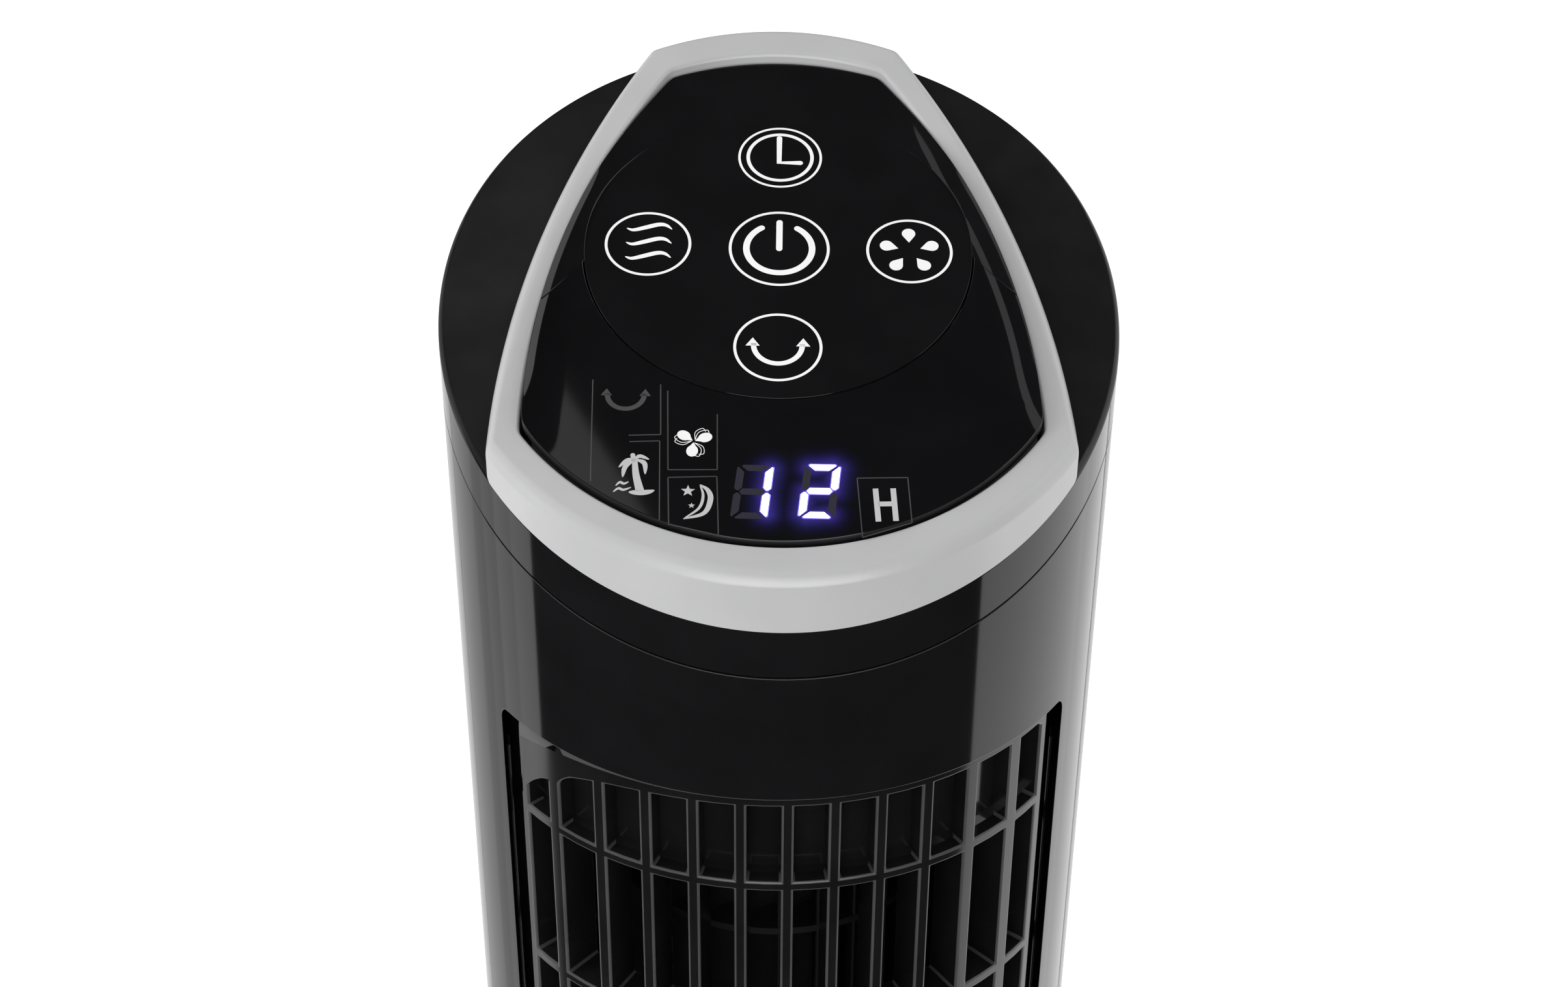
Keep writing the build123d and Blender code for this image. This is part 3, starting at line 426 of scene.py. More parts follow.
def light_lens():
    """Lets the lens shine where its glow attribute says that light spreads under it."""
    nodes, links = LENS_GLASS.node_tree.nodes, LENS_GLASS.node_tree.links
    shader = nodes["Principled BSDF"]
    spread_light = nodes.new("ShaderNodeAttribute")
    spread_light.attribute_name = "glow"
    tint = nodes.new("ShaderNodeMix")
    tint.data_type = "RGBA"
    tint.inputs[6].default_value = (0.0, 0.0, 0.0, 1.0)
    tint.inputs[7].default_value = (0.11, 0.075, 0.75, 1.0)
    links.new(spread_light.outputs["Fac"], tint.inputs["Factor"])
    links.new(tint.outputs[2], shader.inputs["Emission Color"])
    shader.inputs["Emission Strength"].default_value = 0.38


light_lens()

CAD_LOOKS = {
    "base_black": BODY_GLOSS,
    "body_black": BODY_GLOSS,
    "cap_black": CAP_SATIN,
    "grille_black": GRILLE_BLACK,
    "inner_black": INNER_BLACK,
    "panel_black": PANEL_GLOSS,
    "lens_smoke": PANEL_GLOSS,
    "trim_silver": TRIM_SILVER,
    "rubber": moulded("rubber", (0.022, 0.022, 0.022), 0.75, 0.25, 1500.0, 0.00003, 0.25),
    "steel": metal("zinc steel", (0.55, 0.56, 0.58), 0.3),
    "shaft_steel": metal("ground steel", (0.62, 0.62, 0.64), 0.2, (1.0, 1.0, 8.0)),
    "spring_steel": metal("blued steel", (0.2, 0.21, 0.24), 0.35),
    "bell_metal": metal("galvanised sheet", (0.5, 0.51, 0.53), 0.42),
    "core_iron": metal("laminated core", (0.2, 0.2, 0.21), 0.55, (0.2, 0.2, 6.0)),
    "copper": metal("winding copper", (0.75, 0.34, 0.16), 0.35, (1.0, 1.0, 4.0)),
    "bronze": metal("sintered bronze", (0.6, 0.42, 0.22), 0.5),
    "rotor_cage": metal("rotor", (0.5, 0.5, 0.52), 0.38, (1.0, 1.0, 5.0)),
    "acetal": moulded("acetal", (0.75, 0.75, 0.72), 0.35, 0.04, 1500.0, 0.00001),
    "gear_white": moulded("gear plastic", (0.72, 0.72, 0.68), 0.4, 0.05, 1500.0, 0.00001),
    "wheel_grey": moulded("impeller plastic", (0.006, 0.006, 0.0065), 0.42, 0.2, 1100.0, 0.00002, 0.4),
    "board_green": moulded("solder mask", (0.02, 0.12, 0.05), 0.3, 0.2, 700.0, 0.00002, 0.5, coat=0.3),
    "foam": moulded("conductive foam", (0.03, 0.03, 0.032), 0.9, 0.3, 2500.0, 0.00008, 0.2),
    "parts_grey": moulded("component bodies", (0.1, 0.1, 0.11), 0.45, 0.3, 900.0, 0.00002),
    "display_face": moulded("display face", (0.012, 0.012, 0.014), 0.3, 0.1, 900.0, 0.00001),
    "guide_white": moulded("light guide", (0.7, 0.7, 0.7), 0.5, 0.04, 900.0, 0.00001),
    "eye_black": moulded("infra-red window", (0.006, 0.005, 0.012), 0.1, 0.1, 600.0, 0.000005),
    "capacitor_can": moulded("white case", (0.62, 0.62, 0.6), 0.4, 0.05, 900.0, 0.00001),
}


def dress_cad_nodes():
    """Gives every CAD node the finish of its material slot."""
    for part in frame["record"]["subparts"]:
        mesh = frame["nodes"][part["node"]].data
        mesh.materials.clear()
        mesh.materials.append(CAD_LOOKS[part["material_slot"]])


# ---------------------------------------------------------------- studio
def card(name, place, size, radiance, aim=None):
    """Evenly lit rectangle seen only in gloss; without an aim it faces the tower's axis squarely."""
    data = bpy.data.lights.new(name, "AREA")
    data.shape = "RECTANGLE"
    data.size, data.size_y = size
    data.energy = radiance * 4.0 * size[0] * size[1]
    obj = bpy.data.objects.new(name, data)
    obj.location = place
    aim = aim or ((0.0, place[1], place[2]) if place[0] else (0.0, 0.0, place[2]))
    way = Vector(aim) - Vector(place)
    obj.rotation_euler = way.to_track_quat("-Z", "Y").to_euler()
    obj.visible_camera = False
    obj.visible_diffuse = False
    bpy.context.scene.collection.objects.link(obj)
    return obj


def side_cards(side, x, start, strips):
    """Row of tall cards, side by side from front to back, each with its own brightness."""
    for number, (width, radiance) in enumerate(strips):
        card(f"{side} card {number}", (x, start + width / 2, 0.1), (width, 4.2), radiance)
        start += width


def fill(name, place, size, radiance):
    """Square soft light that shows in no reflection."""
    light = card(name, place, (size, size), radiance, aim=(0, 0, 0.6))
    light.visible_glossy = False
    light.visible_diffuse = True


def plain_floor(side=30.0, drop=0.0002):
    """Pale floor just under the feet, which shows in no reflection."""
    ground = bpy.data.meshes.new("floor")
    corners = [(x * side, y * side, -drop) for x, y in ((-1, -1), (1, -1), (1, 1), (-1, 1))]
    ground.from_pydata(corners, [], [(0, 1, 2, 3)])
    floor = bpy.data.objects.new("floor", ground)
    bpy.context.scene.collection.objects.link(floor)
    white, _, _, shader = node_material("floor")
    shader.inputs["Base Color"].default_value = (0.86, 0.86, 0.86, 1.0)
    shader.inputs["Roughness"].default_value = 0.9
    shader.inputs["Emission Color"].default_value = (1.0, 1.0, 1.0, 1.0)
    shader.inputs["Emission Strength"].default_value = 0.3
    ground.materials.append(white)
    floor.visible_glossy = False
    floor.visible_shadow = False


def studio():
    """White surroundings, the floor, cards for the gloss to reflect, and two soft fills."""
    world = bpy.data.worlds.new("studio")
    bpy.context.scene.world = world
    world.use_nodes = True
    background = world.node_tree.nodes["Background"]
    background.inputs["Color"].default_value = (1.0, 1.0, 1.0, 1.0)
    background.inputs["Strength"].default_value = 1.0
    world.cycles_visibility.glossy = False
    plain_floor()

    side_cards("left", -1.0, 0.04, ((0.19, 0.86), (0.19, 0.72), (0.19, 0.55), (0.21, 0.45), (0.9, 0.55)))
    side_cards("right", 1.0, -0.37, ((1.14, 1.1), (0.9, 1.0)))
    card("back card", (0.0, 1.75, -0.9), (2.0, 1.4), 0.7)
    card("front card", (0.0, -1.8, 1.0), (1.6, 1.7), 3.0)
    card("rear left card", (-1.0, 2.3, 0.9), (0.5, 2.4), 1.6)
    card("rear right card", (1.1, 2.2, 0.9), (0.9, 2.4), 0.9)
    left = card("left lens card", (-0.142, 0.286, 1.7), (0.145, 0.26), 0.52)
    left.rotation_euler = (0.0, 0.0, math.radians(31.6))
    fill("left fill", (-1.5, -0.3, 1.3), 0.8, 5.3)
    fill("front fill", (-0.5, -1.7, 1.7), 0.8, 3.0)


def camera():
    """Close view of the head from above, a little left of the middle."""
    data = bpy.data.cameras.new("camera")
    data.sensor_width = 36.0
    data.lens = 59.8
    data.clip_start = 0.02
    obj = bpy.data.objects.new("camera", data)
    bpy.context.scene.collection.objects.link(obj)
    heading, pitch, roll = math.radians(-2.2), math.radians(33.55), math.radians(0.52)
    turn = Matrix.Rotation(heading, 4, "Z") @ Matrix.Rotation(math.pi / 2 - pitch, 4, "X")
    place = Matrix.Translation((-0.0179, -0.5014, 0.9896))
    obj.matrix_world = place @ turn @ Matrix.Rotation(roll, 4, "Z")
    bpy.context.scene.camera = obj


# ---------------------------------------------------------------- head: outlines
def arc_points(a, b, c, count=60):
    """Points along the circle through a, b and c, from a to c."""
    (ax, ay), (bx, by), (cx, cy) = a, b, c
    d = 2 * (ax * (by - cy) + bx * (cy - ay) + cx * (ay - by))
    sa, sb, sc = ax * ax + ay * ay, bx * bx + by * by, cx * cx + cy * cy
    ux = (sa * (by - cy) + sb * (cy - ay) + sc * (ay - by)) / d
    uy = (sa * (cx - bx) + sb * (ax - cx) + sc * (bx - ax)) / d
    radius = math.hypot(ax - ux, ay - uy)
    start = math.atan2(ay - uy, ax - ux)
    middle = (math.atan2(by - uy, bx - ux) - start) % math.tau
    end = (math.atan2(cy - uy, cx - ux) - start) % math.tau
    if middle > end:
        end -= math.tau
    angles = [start + end * i / count for i in range(count + 1)]
    return [polar(radius, t, (ux, uy)) for t in angles]


def head_outline(front_r, corner_x, side_mid, back_x):
    """The trim's plan: circles about the tower axis at front and back, bowed sides."""
    corner = (corner_x, -math.sqrt(front_r**2 - corner_x**2))
    back = (back_x, math.sqrt(front_r**2 - back_x**2))
    front_arc = arc_points((-corner[0], corner[1]), (0, -front_r), corner)
    right = arc_points(corner, side_mid, back)
    back_arc = arc_points(back, (0, front_r), (-back[0], back[1]))
    left = [(-x, y) for x, y in reversed(right)]
    return front_arc[:-1] + right[:-1] + back_arc[:-1] + left[:-1]


HEAD_TURN = math.radians(-0.7)  # the panel sits a little turned against the tower


class Outline:
    """A closed plan read by direction: reach(angle) is its distance from the centre."""

    def __init__(self, points, soften=1.2):
        x, y = np.array(points).T
        angles = np.arctan2(y, x)
        order = np.argsort(angles)
        fine = np.radians(np.arange(-180, 180, 0.25))
        reach = np.interp(fine, angles[order], np.hypot(x, y)[order], period=math.tau)
        half = int(soften / 0.25)
        kernel = np.hanning(2 * half + 3)[1:-1]
        padded = np.concatenate([reach[-half:], reach, reach[:half]])
        self.angles, self.reach_at = fine, np.convolve(padded, kernel / kernel.sum(), "valid")

    def reach(self, angle):
        return float(np.interp(angle - HEAD_TURN, self.angles, self.reach_at, period=math.tau))

    def point(self, angle):
        return polar(self.reach(angle), angle)


def trim_inner(inset=0.0):
    """The inner edge of the trim's plan, and its neighbours further in."""
    return head_outline(66.9 - inset, 55.4 - inset, (47.3 - inset, 15.0), 24.6 - inset)


OUTER = Outline(head_outline(TOWER_R, 62.4, (56.9, 2.0), 29.0))
INNER = Outline(trim_inner(), soften=1.6)
PANEL_EDGE = Outline(trim_inner(0.5), soften=1.8)


# ---------------------------------------------------------------- head: cap and trim
def quarter(radius, count=5):
    """Offsets of a rounded edge: how far in and how far down, from the wall to the top."""
    turns = [math.pi / 2 * i / count for i in range(count + 1)]
    return [(radius * (1 - math.cos(t)), radius * (1 - math.sin(t))) for t in turns]


CAP_ROUND = 1.3  # rounding of the cap's outer edge


def head_cap():
    """Sloping black top: side wall with a rounded rim, and the top up to the control well."""
    rim, skin, well_gap, chamfer = CAP_ROUND, 2.4, 1.9, 0.35
    well = Outline(trim_inner(-well_gap))
    sections = []
    for angle in directions(720):
        s = math.sin(angle)
        inner = min(well.reach(angle), TOWER_R - 0.6)
        wall_bottom = cap_top(TOWER_R * s) - CAP_RIM + 0.15
        section = [(TOWER_R - skin, wall_bottom), (TOWER_R - chamfer, wall_bottom)]
        section += [(TOWER_R, wall_bottom + chamfer)]
        for inwards, down in quarter(rim):
            r = TOWER_R - inwards
            section.append((r, cap_top(r * s) - down) if r > inner else (inner, cap_top(inner * s)))
        flat = [blend(TOWER_R - rim, inner, k / 8) for k in range(1, 9)]
        section += [(r, cap_top(r * s)) for r in flat]
        section += [(r, cap_top(r * s) - skin) for r in (inner, TOWER_R - skin)]
        sections.append(swept(section, angle))
    cap = settle("head_cap", ring_solid(sections), "tower", CAP_SATIN, ("top_cap",), sharp=40)
    cap.data.materials.append(BODY_GLOSS)
    for face in cap.data.polygons:
        on_wall = math.hypot(face.center.x, face.center.y) > (TOWER_R - rim) * MM
        face.material_index = int(on_wall and face.normal.z < 0.5)


def silver_trim():
    """Silver frame: a wall that rises from the cap, a softly rounded top, and a lip inside."""
    outer_round, inner_round, foot, lip, lip_drop = 2.6, 0.9, 0.15, 1.5, 2.3
    sections = []
    for angle in directions(1080):
        s = math.sin(angle)
        far, near = OUTER.reach(angle), INNER.reach(angle)
        past_edge = min(CAP_ROUND, max(0.0, far - TOWER_R + CAP_ROUND))
        base = cap_top(far * s) + foot - CAP_ROUND + math.sqrt(CAP_ROUND**2 - past_edge**2)
        section = [(far - 0.1, base), (far, base + foot), (far, trim_top(far * s) - outer_round)]
        section += [(far - i, trim_top((far - i) * s) - d) for i, d in quarter(outer_round, 6)[1:]]
        middle = [blend(far - outer_round, near + inner_round, k / 5) for k in range(1, 5)]
        section += [(r, trim_top(r * s)) for r in middle]
        section += [(near + i, trim_top((near + i) * s) - d) for i, d in reversed(quarter(inner_round, 5))]
        below = cap_top(near * s) - lip_drop
        section += [(near, below), (near + lip, below), (near + lip, cap_top(near * s) + foot)]
        sections.append(swept(section, angle))
    settle("silver_trim", ring_solid(sections), "tower", TRIM_SILVER, ("trim_frame",), sharp=50)


# ---------------------------------------------------------------- head: control panel
PANEL_TILT = math.atan(PANEL_SLOPE)
SEAM_IN = math.asin((7.5 - DISC_Y) / math.cos(PANEL_TILT) / DISC_R)  # where plate and lens meet
SEAM_OUT = math.atan2(-5.4, 51.0)
SIDE_BAND, SIDE_RISE = 8.5, 2.3  # width and height of the curl along both sides
WELL_SIDE = np.array([(y, x) for x, y in trim_inner() if x > 24.7 and -41.0 < y < 64.0])
WELL_HALF = np.polynomial.Polynomial.fit(WELL_SIDE[:, 0], WELL_SIDE[:, 1], 4)


def side_limit(y):
    """Half the width of the control well at y, smooth all along its bowed side."""
    return float(WELL_HALF(min(66.0, max(-60.0, y))))


def eased(t):
    """0 to 1 without a kink at either end."""
    t = min(1.0, max(0.0, t))
    return t * t * (3 - 2 * t)


def side_rise(x, y):
    """The panel curls up towards the trim along both sides, less so at the back and front."""
    room = side_limit(y) - abs(x)
    fade_back = eased((64.0 - y) / 40.0)
    fade_front = eased((y + 52.0) / 30.0)
    t = min(1.0, max(0.0, 1 - room / SIDE_BAND))
    return SIDE_RISE * t**2.4 * fade_back * fade_front


def panel_flat(_, y):
    """Height of the panel's plane."""
    return CAP_Z + PANEL_RISE + PANEL_SLOPE * y


def panel_top(x, y):
    """Height of the panel with its curled sides."""
    return panel_flat(x, y) + side_rise(x, y)


def disc_point(angle, r):
    """A point of a circle about the key field's middle that looks round on the slope."""
    return (r * math.cos(angle), DISC_Y + r * math.sin(angle) * math.cos(PANEL_TILT))


def ruled(ends_in, ends_out, r_in, columns, rows):
    """Grid between the key disc's rim and the panel's outer edge."""
    grid = []
    for i in range(columns + 1):
        t = i / columns
        x0, y0 = disc_point(blend(*ends_in, t), r_in)
        x1, y1 = PANEL_EDGE.point(blend(*ends_out, t))
        grid.append([(blend(x0, x1, j / rows), blend(y0, y1, j / rows)) for j in range(rows + 1)])
    return grid


def key_plate():
    """Upper plate: the flat round key field and the curled wings round its upper half."""
    pin = [polar(0.002, a, (0.0, DISC_Y)) for a in directions(240)]
    rings = [[disc_point(a, DISC_R * k / 24) for a in directions(240)] for k in range(1, 25)]
    disc = sheet_solid([pin, *rings], panel_flat, 1.9, closed=True)
    wings = ruled((SEAM_IN, math.pi - SEAM_IN), (SEAM_OUT, math.pi - SEAM_OUT), DISC_R - 0.05, 300, 22)
    wing_draft = sheet_solid(wings, panel_top, 1.7)
    settle("key_plate", join_drafts(disc, wing_draft), "tower", PANEL_GLOSS, ("touch_plate",), bevel=0.22)


def display_window():
    """Smoked lens that wraps round the lower half of the key field."""
    gap = 0.008  # radians between lens and plate
    start_in, start_out = SEAM_IN - gap, SEAM_OUT - gap
    grid = ruled((start_in, -math.pi - start_in), (start_out, -math.pi - start_out), DISC_R + 0.45, 420, 60)
    draft = sheet_solid(grid, lambda x, y: panel_top(x, y) + 0.1, 2.0)
    return settle("display_window", draft, "tower", LENS_GLASS, ("display_lens",), bevel=0.3)


# ---------------------------------------------------------------- head: printing and display
PRINT_TURN = math.radians(-2.2)  # the printing sits a little turned against the housing
SLANT = math.tan(math.radians(5.5))
DIGIT_WIDE, DIGIT_TALL, SEGMENT = 7.6, 14.0, 1.6
ONES, TENS = (6.6, -68.1), (-7.3, -68.0)  # centres of the two digits, panel axes


def on_panel(points):
    """From panel axes (u across, v up the slope, w out of the face) to the tower's axes."""
    c, s = math.cos(PANEL_TILT), math.sin(PANEL_TILT)
    u, v, w = points[:, 0], points[:, 1], points[:, 2]
    height = CAP_Z + PANEL_RISE + PANEL_SLOPE * DISC_Y
    return np.stack([u, DISC_Y + v * c - w * s, height + v * s + w * c], axis=1)


class Printing:
    """Thin shapes gathered in one draft, each drawn about a centre on the panel."""

    def __init__(self, low, thick=0.03):
        self.bm = bmesh.new()
        self.low, self.high = low, low + thick
        self.at(0.0, 0.0)

    def at(self, u, v, turn=PRINT_TURN):
        """Moves the centre that the next shapes are drawn about."""
        self.centre, self.turn = (u, v), turn
        return self

    def place(self, x, y):
        """A drawn point in panel axes."""
        c, s = math.cos(self.turn), math.sin(self.turn)
        return self.centre[0] + x * c - y * s, self.centre[1] + x * s + y * c

    def plate(self, outline):
        """A filled outline."""
        low = [self.bm.verts.new((*self.place(x, y), self.low)) for x, y in outline]
        high = [self.bm.verts.new((*self.place(x, y), self.high)) for x, y in outline]
        self.bm.faces.new(high)
        self.bm.faces.new(low[::-1])
        bridge(self.bm, high, low)

    def stroke(self, line, width, closed=False, cap=False):
        """A line of even or changing width, with round ends where cap is set."""
        widths = list(width) if isinstance(width, (list, tuple)) else [width] * len(line)
        line = [Vector(p) for p in line]
        if cap and not closed:
            line, widths = rounded_ends(line, widths)
        count = len(line)
        sections = []
        for i, point in enumerate(line):
            before = line[i - 1] if closed or i else line[0]
            after = line[(i + 1) % count] if closed or i < count - 1 else line[-1]
            along = (after - before).normalized()
            side = Vector((-along.y, along.x)) * widths[i] / 2
            corners = [(point + side, self.high), (point - side, self.high)]
            corners += [(point - side, self.low), (point + side, self.low)]
            sections.append([self.bm.verts.new((*self.place(p.x, p.y), w)) for p, w in corners])
        for i in range(count if closed else count - 1):
            bridge(self.bm, sections[i], sections[(i + 1) % count])
        if not closed:
            self.bm.faces.new(sections[0])
            self.bm.faces.new(sections[-1][::-1])

    def ring(self, radius, width):
        self.stroke(arc(radius, 0, 360)[:-1], width, closed=True)

    def swell(self, points, widest):
        """A smooth line through the points that swells towards its middle."""
        line = flowing(points)
        self.stroke(line, tapered(len(line), widest))

    def finish(self, name, material, slot="display_face"):
        """Lays the drawing on the panel as a piece of its own."""
        settle(name, self.bm, "tower", material, warp=on_panel)


def rounded_ends(line, widths, count=4):
    """Adds the points of a half circle, told as ever narrower widths, at both ends."""
    for _ in range(2):
        way = (line[-1] - line[-2]).normalized()
        end, wide = line[-1], widths[-1]
        for k in range(1, count + 1):
            a = math.radians(88) * k / count
            line.append(end + way * wide / 2 * math.sin(a))
            widths.append(wide * math.cos(a))
        line.reverse()
        widths.reverse()
    return line, widths


def arc(radius, start, end, centre=(0.0, 0.0), size=5.0):
    """Points round a circle, angles in degrees."""
    return [polar(radius, math.radians(a), centre) for a in steps(start, end, size)]


def flowing(points, between=8):
    """Smooth curve through the points."""
    p = [Vector(q) for q in points]
    p = [2 * p[0] - p[1], *p, 2 * p[-1] - p[-2]]
    result = []
    for i in range(1, len(p) - 2):
        for k in range(between):
            t = k / between
            bend = 2 * p[i - 1] - 5 * p[i] + 4 * p[i + 1] - p[i + 2]
            twist = 3 * p[i] - p[i - 1] - 3 * p[i + 1] + p[i + 2]
            result.append(p[i] + 0.5 * t * (p[i + 1] - p[i - 1] + t * bend + t * t * twist))
    return [*result, p[-2]]


def tapered(count, widest, tip=0.12):
    """Widths that swell from a fine tip to the middle and back."""
    return [tip + (widest - tip) * math.sin(math.pi * i / (count - 1)) ** 0.7 for i in range(count)]


def key_icons():
    """Five printed touch keys: power, timer, swing, wind mode and speed."""
    ink = Printing(0.0)
    ring_width, small = 0.62, 9.3
    power = ink.at(0.2, 0.2)
    power.ring(10.9, ring_width)
    power.stroke(arc(7.3, 123, 417), 1.45, cap=True)
    power.stroke([(0, 7.9), (0, -0.1)], 1.4, cap=True)

    timer = ink.at(1.2, 28.5)
    timer.ring(small, 0.55)
    timer.ring(7.3, 0.8)
    timer.stroke([(-0.2, 6.2), (-0.2, -1.65), (4.6, -1.65)], 1.25, cap=True)

    swing = ink.at(-0.9, -28.7)
    swing.ring(small, ring_width)
    swing_arrow(swing, 5.25, 1.15, 3.05, 2.3)

    wind = ink.at(-28.9, 2.0)
    wind.ring(small, ring_width)
    for row in (1, 0, -1):
        lift = 4.3 * row + 0.2
        wave = flowing([(-4.9, 0.1), (-3.4, -0.4), (-0.9, 0.35), (2.1, 1.35), (3.8, 1.2), (5.2, 0.0)])
        wind.stroke([(p.x, p.y + lift) for p in wave], tapered(len(wave), 1.15))

    speed = ink.at(29.1, -1.0)
    speed.ring(small, ring_width)
    for k in range(5):
        spoke = math.radians(91 + 72 * k)
        speed.plate(petal(spoke, 2.6, 5.3, 1.5))
    ink.finish("key_icons", INK, "guide_white")


def swing_arrow(ink, radius, width, head_wide, head_tall, lift=0.6):
    """U-shaped double arrow."""
    ink.stroke(arc(radius, 176, 364, (0, lift)), width)
    for side in (-1, 1):
        tip = (side * (radius + 0.2), lift + head_tall - 0.3)
        ink.plate([(tip[0] - head_wide / 2, lift - 0.3), (tip[0] + head_wide / 2, lift - 0.3), tip])


def petal(spoke, tip_at, middle_at, radius):
    """A drop with its point towards the centre, along a spoke."""
    reach = middle_at - tip_at
    lean = math.degrees(math.acos(radius / reach))
    turn = math.degrees(spoke)
    round_end = arc(radius, turn - 180 + lean, turn + 180 - lean, polar(middle_at, spoke), 10.0)
    return [polar(tip_at, spoke), *round_end]


def segment(name, grow=0.0):
    """One bar of a seven-segment digit as a six-cornered outline."""
    half_w, half_h, half = (DIGIT_WIDE - SEGMENT) / 2, (DIGIT_TALL - SEGMENT) / 2, SEGMENT / 2 + grow
    gap = 0.32 - grow
    if name in "adg":
        y = {"a": half_h, "d": -half_h, "g": 0.0}[name]
        left, right = -half_w + gap, half_w - gap
        blunt = half * 0.75
        bar = [(left, y), (left + blunt, y + half), (right - blunt, y + half), (right, y)]
        bar += [(right - blunt, y - half), (left + blunt, y - half)]
        if name != "g":
            outward = math.copysign(half, y)
            bar = [(left - 0.2, y + outward * 0.6), (left + 0.1, y + outward), (right - 0.1, y + outward)]
            bar += [(right + 0.2, y + outward * 0.6)]
            bar += [(right - 2 * blunt, y - outward), (left + 2 * blunt, y - outward)]
    else:
        x = half_w if name in "bc" else -half_w
        low, high = (gap, half_h - gap) if name in "bf" else (-half_h + gap, -gap)
        out = math.copysign(half, x)
        near, far = (low, high) if name in "bf" else (high, low)
        way = 1 if name in "bf" else -1
        bar = [(x + out * 0.3, near), (x + out, near + way * 0.7 * half), (x + out, far + way * 0.35)]
        bar += [(x + out * 0.6, far + way * 0.6), (x - out, far - way * half)]
        bar += [(x - out, near + way * 0.9 * half), (x - out * 0.2, near)]
    return [(px + SLANT * py, py) for px, py in bar]


def digit(ink, centre, bars, grow=0.0):
    """Some bars of one digit, each a little larger or smaller all round."""
    ink.at(*centre)
    for name in bars:
        ink.plate(segment(name, grow))


LIT = ((TENS, "bc"), (ONES, "abged"))
UNLIT = ((TENS, "adefg"), (ONES, "cf"))


def display_digits():
    """Lit number: violet-edged white bars over a dark digit block, and the bars that are off, with a faint
    painted glow.
    """
    off_bars_glow, edges, cores = Printing(0.1), Printing(0.1, 0.035), Printing(0.14)
    for centre, bars in UNLIT:
        digit(off_bars_glow, centre, bars)
    for centre, bars in LIT:
        digit(edges, centre, bars, 0.16)
        digit(cores, centre, bars, -0.06)
    off_bars_glow.finish("digit_unlit_bars_painted_glow", OFF_BARS_PAINTED_GLOW)
    edges.finish("digit_edges", VIOLET_LIGHT)
    cores.finish("digit_cores", WHITE_LIGHT)


def display_frames():
    """Fine printed lines between the symbol cells, and the unlit swing symbol."""
    lines, width = Printing(0.1), 0.24
    lines.at(0, -0.5, 0.0)
    for line in (
        [(-24.6, -40.2), (-24.6, -61.5), (-14.4, -61.6), (-14.2, -46.8)],
        [(-24.5, -75.8), (-24.6, -63.5), (-14.5, -63.4), (-14.4, -78.6)],
        [(14.9, -79.6), (14.5, -64.3), (25.0, -64.3), (25.2, -76.0), (14.9, -79.6)],
        [(-40.5, -36.9), (-40.6, -64.3)],
        [(-26.1, -38.4), (-26.1, -52.1), (-32.8, -52.2)],
        [(-32.6, -53.9), (-26.3, -53.8), (-26.4, -74.6)],
        [(-24.5, -75.6), (-14.4, -78.6)],
    ):
        for a, b in zip(line, line[1:]):
            lines.stroke([a, b], width)
    lines.finish("display_frames", FAINT_INK)
    arrow = Printing(0.1)
    swing_arrow(arrow.at(-33.5, -42.2), 3.9, 1.1, 2.4, 1.9)
    arrow.finish("unlit_swing_symbol", FAINT_INK)


def fan_symbol():
    """Lit speed symbol: three rounded blades with fine trailing lines."""
    ink = Printing(0.1)
    for k in range(3):
        turn = 22 + 120 * k
        ink.at(-19.2, -54.5, math.radians(turn))
        lobe = arc(1.0, -150, 150, (2.6, 0.0), 10.0)
        ink.plate([(0.3, 0.0)] + [(2.6 + (x - 2.6) * 1.5, y * 1.22) for x, y in lobe])
        for lean, reach in ((24, 4.1), (40, 3.9)):
            way = math.radians(lean)
            side, back = polar(reach * 0.62, way + 0.35), polar(reach * 0.93, way - 0.28)
            ink.stroke(flowing([(0.4, 0.25), side, polar(reach, way), back]), 0.13)
    ink.finish("fan_symbol", WHITE_SOFT)


def night_symbol():
    """Crescent with two stars, in grey print with a painted glow."""
    ink = Printing(0.1)
    for centre, size in (((-20.5, -67.6), 1.5), ((-19.8, -71.4), 0.72)):
        ink.at(*centre)
        ink.plate([polar(size * (0.42 if k % 2 else 1.0), math.radians(90 + 36 * k)) for k in range(10)])
    ink.at(-0.1, -0.5, 0.0)
    ink.swell([(-17.9, -65.5), (-16.3, -67.0), (-15.8, -69.4), (-17.2, -72.9), (-21.4, -74.3)], 1.15)
    ink.swell([(-17.9, -65.5), (-17.3, -68.4), (-18.2, -71.6), (-21.4, -74.3)], 0.62)
    ink.finish("night_symbol", GREY_PRINT_PAINTED_GLOW)


